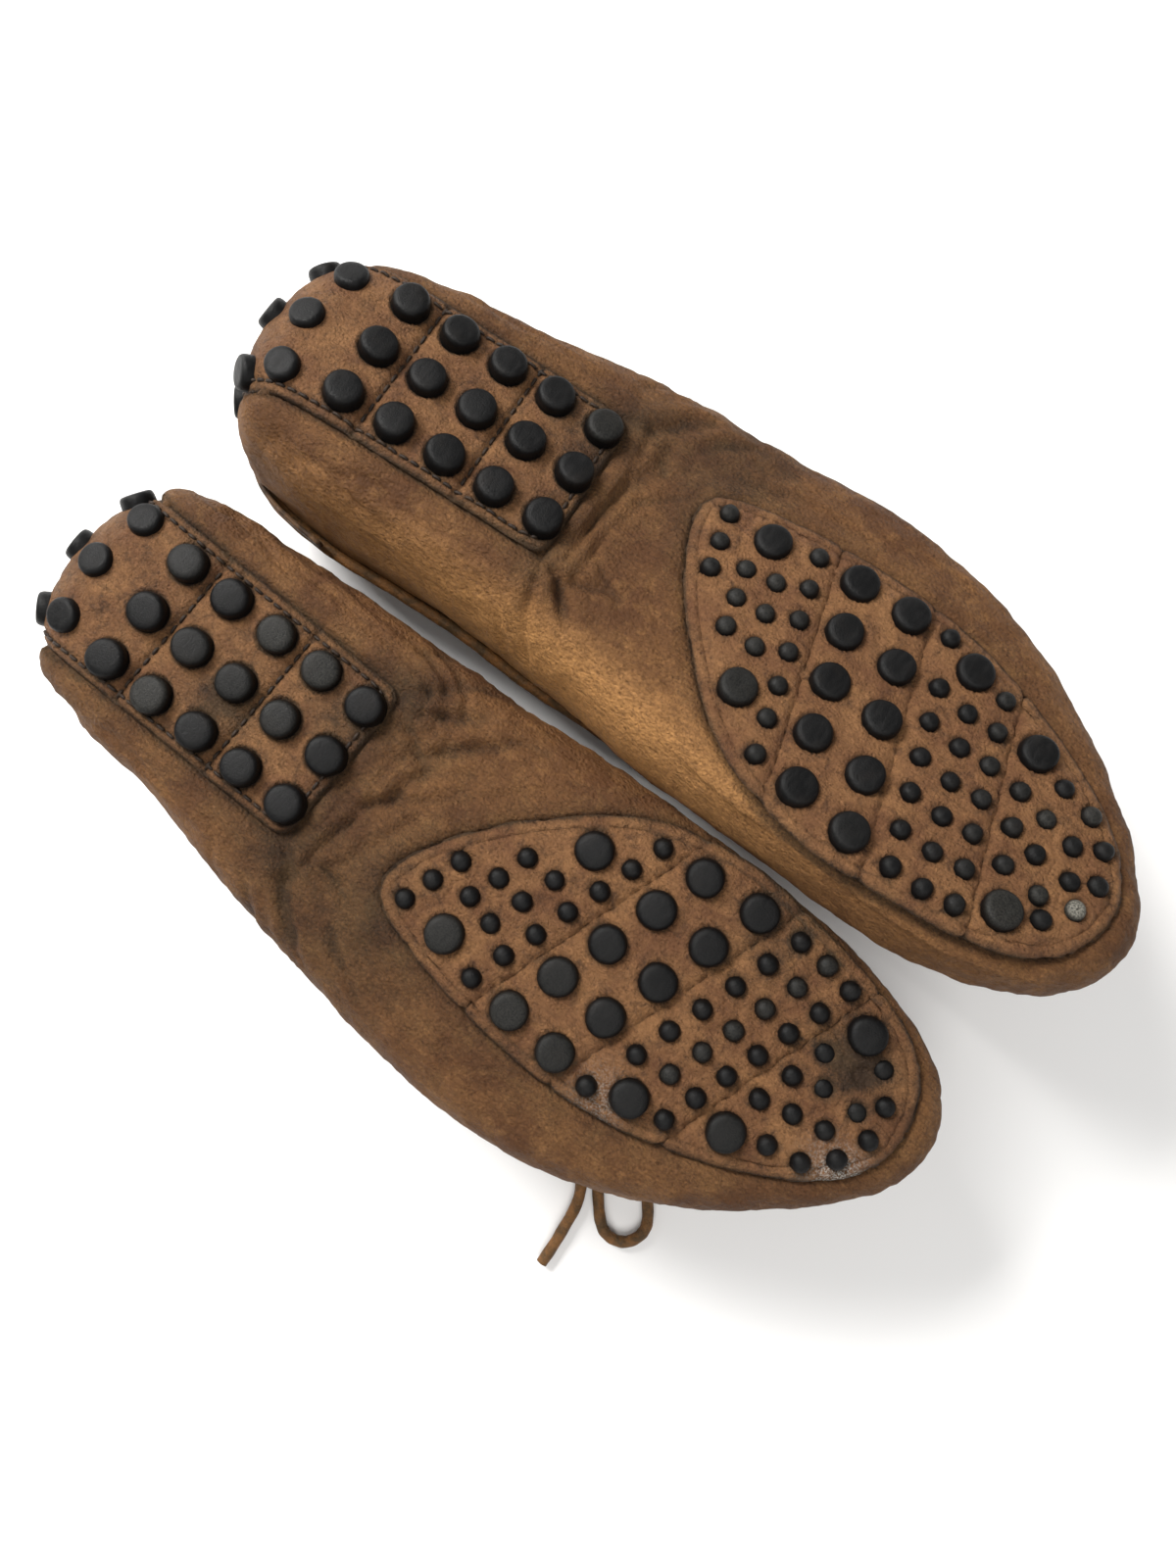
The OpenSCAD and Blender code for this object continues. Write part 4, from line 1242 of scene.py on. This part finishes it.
def make_treads(side):
    """Rubber pebbles, one piece for each tread and for the heel's back."""
    first = 1.0 if side == "left" else 2.2
    groups = [("heel_tread_%d" % (k + 1), "rear", heel_pebbles(k)) for k in range(3)]
    groups += [("fore_tread_%d" % (k + 1), "fore", fore_pebbles(k)) for k in range(4)]
    for name, part, spots in groups:
        parts, wear, dust = [], [], []
        for i, (px, py, large) in enumerate(spots):
            phase = first + i * 2.399 + px * 0.11
            sunk = 0.0
            if side == "left" and not large and math.hypot(px - 250, py - 22) < 13:
                sunk = 1.5
            if side == "left" and math.hypot(px - LOST[0], py - LOST[1]) < 4:
                sunk = 3.9
            if part == "rear":
                base, normal = heel_point(np.array([HEEL_FRONT - px]), np.array([py - 0.5]))
                base, normal = base[0], normal[0]
            else:
                base, normal = np.array((px, py, 0.0)), np.array((0, 0, -1.0))
            radius = (LARGE_D if large else SMALL_D) / 2
            radius *= 1 + 0.02 * math.sin(phase * 3.1)
            height = (LARGE_H if large else SMALL_H) + PATCH_T - 0.15 - sunk
            height -= 0.25 * abs(math.sin(phase * 1.7))
            tip = 0.10 if large else 0.06
            normal = normal + np.array((math.sin(phase), math.cos(phase * 1.3), 0)) * 0.035
            shape = LARGE_PROFILE if large else SMALL_PROFILE
            v, f, w = pebble(base, normal, radius, height, shape, tip * radius, phase)
            parts.append((v, f))
            wear += w
            mark = 0.9 if side == "right" and math.hypot(px - 268, py - 22) < 5 else 0.0
            mark += 0.10 * max(0, math.sin(phase * 2.3)) ** 3
            dust += [mark * x for x in w]
        fields = {"wear": wear, "dust": dust}
        piece(name + "_pebbles", join(parts), side, part, "rubber", (name,), fields)
    parts, wear = [], []
    for i, (v, apart) in enumerate(STUD_ROWS):
        for j in (-1, 0, 1):
            rows = ring_at(np.full(2, HEEL_APEX + j * apart))
            at = skin(rows, np.array([v, v]), np.array([[0.0], [-2.0]]))
            base, normal = at[0], at[1] - at[0]
            phase = first + i * 1.9 + j * 2.7 + 4
            shape = pebble(
                base, normal, (LARGE_D - 1) / 2, LARGE_H + 0.3, LARGE_PROFILE, 0.3, phase
            )
            parts.append(shape[:2])
            wear += shape[2]
    fields = {"wear": wear, "dust": np.zeros(len(wear))}
    piece("heel_back_pebbles", join(parts), side, "rear", "rubber", ("heel_studs",), fields)


for side in SIDES:
    make_treads(side)

# ---- upper: binding, lace, seam, apron, tongue and linings -------------------------------------


def edge_path(first, last, v, depth, steps=8):
    """A line along the wall from one row of RING to another."""
    rows = ring_at(np.linspace(first, last, int((last - first) * steps) + 1))
    return skin(rows, np.full(len(rows), v), depth)


def apron_rows(count, columns):
    """The apron's middle face, from the throat to the toe."""
    grid, w = [], np.linspace(0, 1, columns)[:, None]
    for t in np.linspace(0, 1, count) ** 0.8:
        outer = THROAT_OUTER + t * (TOE_APEX - 0.35 - THROAT_OUTER)
        inner = THROAT_INNER - t * (THROAT_INNER - TOE_APEX - 0.35)
        a = skin(ring_at([outer]), np.array([2.0]), LEATHER_T / 2)[0]
        b = skin(ring_at([inner]), np.array([2.0]), LEATHER_T / 2)[0]
        crown = 1.5 + 0.05 * np.linalg.norm(b - a)
        row = a + (b - a) * w
        row[:, 2] += crown * 4 * (w * (1 - w))[:, 0]
        grid.append(row)
    return np.array(grid)


def make_upper(side):
    seed = 71.0 if side == "left" else 83.0
    # Rolled binding round the opening, and across the throat.
    ring_back = edge_path(THROAT_INNER - RING_COUNT, THROAT_OUTER, 2.0, LEATHER_T / 2)
    throat = apron_rows(2, 33)[0]
    w = np.linspace(0, 1, 33)
    throat = throat + np.stack((-8 * 4 * w * (1 - w), 0 * w, 0 * w + 0.3), 1)
    loop = resample(np.concatenate((ring_back, throat[1:-1])), 1.2)
    pucker = 1 + 0.055 * np.sin(np.arange(len(loop)) * 2.1) + 0.05 * hash_noise(loop, 5, seed, 2)
    piece(
        "opening_binding", tube_mesh(loop, COLLAR_D / 2 * pucker, 12, closed=True), side, "both",
        "edge", ("rear_collar", "front_collar"),
    )
    # The lace that runs in the binding's channel round the heel.
    lace = edge_path(THROAT_INNER + 0.5 - RING_COUNT, THROAT_OUTER - 0.5, 1.89, -THONG_D / 2)
    lace = resample(lace, 1.4)
    rough = THONG_D / 2 * (1 + 0.04 * np.sin(np.arange(len(lace)) * 0.9))
    piece(
        "collar_lace", tube_mesh(lace, rough, 10), side, "both", "thong", ("rear_lace", "front_lace")
    )
    # The puckered seam between the wrap and the apron, with its thick hand stitches.
    seam = resample(edge_path(THROAT_OUTER, THROAT_INNER, 2.0, LEATHER_T / 2, 12), 0.9)
    pinch = 1 + 0.16 * np.sin(np.arange(len(seam)) * 0.9 * 2 * math.pi / 5.0)
    piece("moc_seam_roll", tube_mesh(seam, 1.9 * pinch, 12), side, "fore", "wrap", ("moc_seam",),
          {"grime_and_shade": np.full(len(seam) * 12 + 2, 0.35), "painted_highlight": np.zeros(len(seam) * 12 + 2)})
    parts = []
    marks = resample(seam, 5.0)
    for i in range(1, len(marks) - 1):
        way = marks[i + 1] - marks[i - 1]
        way /= np.linalg.norm(way)
        across = np.cross(way, (0, 0, 1.0))
        across /= np.linalg.norm(across)
        t = np.linspace(-1, 1, 9)[:, None]
        rise = np.array((0, 0, 1.0)) * (2.0 * (1 - t**2))
        arch = marks[i] + across * 2.6 * t + rise - (0, 0, 0.2)
        parts.append(tube_mesh(arch, 0.55, 6))
    piece("moc_stitches", join(parts), side, "fore", "thread")
    # The apron over the toes, slightly creased.
    grid = apron_rows(90, 60)
    verts = grid.reshape(-1, 3).copy()
    rim = np.tile(np.minimum(np.linspace(0, 1, 60), np.linspace(1, 0, 60)) * 2, 90)
    soft = hash_noise(verts, 16, seed, 3) * 0.9
    soft = soft + hash_noise(verts * (1.5, 0.5, 1), 6, seed + 3, 3) * 0.35
    verts[:, 2] += soft * np.clip(rim * 4, 0, 1) - 0.2
    faces = grid_faces(90, 60)
    sheet, faces = thicken(verts, faces, 1.6)
    grime_and_shade = np.tile(np.clip(0.25 + 0.5 * soft, 0, 1), 2)
    piece("toe_apron", (sheet, faces), side, "fore", "wrap", ("apron",),
          {"grime_and_shade": grime_and_shade, "painted_highlight": np.zeros(len(sheet))})


for side in SIDES:
    make_upper(side)

TONGUE_T = 1.6
# Tongue rows from the free tip to the throat: x, half width and height.
TONGUE = [(115, 13, 57.2), (119, 20, 57), (128, 24, 56.4), (140, 25, 55.4), (153, 25, 54.2)]
KNOT_AT = np.array((180.0, 0.0, 59.6))


def make_tongue(side):
    rows = smooth_open(TONGUE, 10)
    w = np.linspace(-4, 4, 41)
    grid = np.stack([
        np.stack((np.full(41, x), half * w / 4 + 1, z - 3 * w * w / 16), 1) for x, half, z in rows
    ])
    verts = grid.reshape(-1, 3).copy()
    verts[:, 2] += hash_noise(verts * (1.6, 0.6, 1), 7, 5.0, 3) * 0.5
    faces = grid_faces(len(rows), 41)
    sheet, faces = thicken(verts, faces, TONGUE_T * 0.9)
    fields = {"grime_and_shade": np.full(len(sheet), 0.25), "painted_highlight": np.zeros(len(sheet))}
    piece("tongue_flap_leather", (sheet, faces), side, "fore", "wrap", ("tongue",), fields,
          body="tongue_flap")


def make_linings(side):
    """Insole from heel to toe, the counter inside the heel, and the band outside it."""
    t = np.linspace(0.03, 0.985, 120) * (TOE_APEX - HEEL_APEX)
    outer = skin(ring_at(HEEL_APEX + t), np.full(120, 0.0), 0.0)
    inner = skin(ring_at(HEEL_APEX - t + RING_COUNT), np.full(120, 0.0), 0.0)
    w = np.linspace(0, 1, 40)[None, :, None]
    grid = outer[:, None] * (1 - w) + inner[:, None] * w
    rim = (2 * np.abs(w[0, :, 0] - 0.5)) ** 6
    grid[..., 2] = 4.7 + 1.2 * rim
    verts = grid.reshape(-1, 3).copy()
    verts[:, 2] += hash_noise(verts, 18, 9.0, 3) * 0.25
    sheet, faces = thicken(verts, [tuple(reversed(f)) for f in grid_faces(120, 40)], -1.6)
    piece("insole_lining", (sheet, faces), side, "both", "lining", ("insole", "heel_sock"))
    for name, kind, rows, v, depth, thick, node in (
        ("heel_counter_lining", "lining", (2.5, 9.5), (0.8, 1.8), 3.3, 0.9, "heel_counter"),
        ("heel_pull_band", "edge", (3.0, 9.0), (1.64, 1.8), -1.75, 1.4, "heel_band"),
    ):
        places = np.linspace(rows[0], rows[1], 90)
        heights = np.linspace(v[0], v[1], 16)
        grid = skin(ring_at(places)[:, None, :], np.broadcast_to(heights, (90, 16)), depth)
        verts = grid.reshape(-1, 3)
        verts = verts + normals_of(verts, grid_faces(90, 16)) * (
            hash_noise(verts, 6, 4.0, 3)[:, None] * 0.12
        )
        sheet, faces = thicken(verts, grid_faces(90, 16), thick)
        piece(name, (sheet, faces), side, "rear", kind, (node,))


def make_knot(side):
    """The bow's knot under the throat, and the thong that runs to it from each side."""
    parts = []
    a = np.linspace(0, 2 * math.pi, 24, endpoint=False)
    for y, lean in ((-2.0, 0.5), (1.9, -0.4)):
        ring = KNOT_AT + np.stack(
            (3.4 * np.cos(a), y + lean * np.sin(a) * 1.5, 1.15 * np.sin(a)), 1
        )
        parts.append(tube_mesh(ring, 1.45, 10, closed=True))
    y = np.linspace(-6.6, 6.6, 16)
    core = KNOT_AT + np.stack((0.8 * np.sin(y), y, 0.3 * np.cos(y)), 1)
    parts.append(tube_mesh(core, 2.0 - 0.5 * (y / 6.6) ** 2, 12))
    grid = apron_rows(40, 41)
    for sign in (-1, 1):
        steps = np.linspace(0, 1, 14)
        line = []
        for t in steps:
            row = t * 9
            column = 20 + sign * (19 - 16.5 * t)
            i, j = int(row), int(column)
            at = grid[i, j] + (grid[min(i + 1, 39), j] - grid[i, j]) * (row - i)
            at = at + (grid[i, min(j + 1, 40)] - grid[i, j]) * (column - j)
            line.append(at + (0, 0, 2.1 + 0.4 * t))
        end = KNOT_AT + (-3.4, -sign * 2.5 if line[-1][1] * sign < 0 else sign * 2.5, 0)
        line.append(end)
        line = resample(smooth_open(line, 3), 1.5)
        parts.append(tube_mesh(line, THONG_D / 2 * 0.96, 10))
    piece("bow_knot", join(parts), side, "fore", "thong", ("lace_knot",))


def make_heel_roll(side):
    """The rolled end of leather at the inner rear corner of the heel."""
    v = np.linspace(0.42, 1.30, 26)
    rows = ring_at(4.2 + 0.10 * np.sin(v * 2))
    line = skin(rows, v, 0.2)
    girth = 0.7 + 2.1 * np.sin(np.linspace(0.04, 0.96, 26) * math.pi) ** 0.6
    girth *= 1 + 0.06 * np.sin(np.arange(26) * 1.7)
    verts, faces = tube_mesh(resample(line, 1.0), np.interp(
        np.linspace(0, 25, len(resample(line, 1.0))), np.arange(26), girth), 16)
    verts = verts + hash_noise(verts, 5, 7.7, 3)[:, None] * 0.35
    fields = {"grime_and_shade": np.full(len(verts), 0.72), "painted_highlight": np.zeros(len(verts))}
    piece("heel_corner_roll", (verts, faces), side, "rear", "wrap", (), fields)


for side in SIDES:
    make_tongue(side)
    make_linings(side)
    make_knot(side)
    make_heel_roll(side)

# ---- floor and light -------------------------------------------------------------------------


def area_light(name, at, toward, size, power, colour):
    data = bpy.data.lights.new(name, "AREA")
    data.shape = "RECTANGLE"
    data.size, data.size_y = size
    data.energy = power
    data.color = colour
    light = bpy.data.objects.new(name, data)
    light.location = at
    light.rotation_euler = (Vector(toward) - Vector(at)).to_track_quat("-Z", "Y").to_euler()
    bpy.context.scene.collection.objects.link(light)


def make_studio():
    """A plain pale floor and a soft window-like light."""
    mesh = bpy.data.meshes.new("floor")
    half = 3.0
    mesh.from_pydata(
        [(-half, -half, 0), (half, -half, 0), (half, half, 0), (-half, half, 0)], [], [(0, 1, 2, 3)]
    )
    floor = bpy.data.objects.new("floor", mesh)
    bpy.context.scene.collection.objects.link(floor)
    shader = Shader("floor_paper")
    mesh.materials.append(shader.finish((0.86, 0.86, 0.86), 0.75, None, 0.2))
    world = bpy.data.worlds.new("studio")
    world.use_nodes = True
    world.node_tree.nodes["Background"].inputs["Color"].default_value = (1.0, 1.0, 1.0, 1)
    world.node_tree.nodes["Background"].inputs["Strength"].default_value = 0.42
    bpy.context.scene.world = world
    area_light("window", (-0.85, 0.15, 0.80), (0, 0, 0.03), (0.5, 0.4), 22.5, (1.0, 0.985, 0.96))
    area_light("room", (0.4, -0.5, 1.2), (0, 0, 0.03), (1.0, 0.8), 10.0, (1.0, 0.98, 0.95))
    bpy.context.scene.view_settings.view_transform = "Standard"


make_studio()
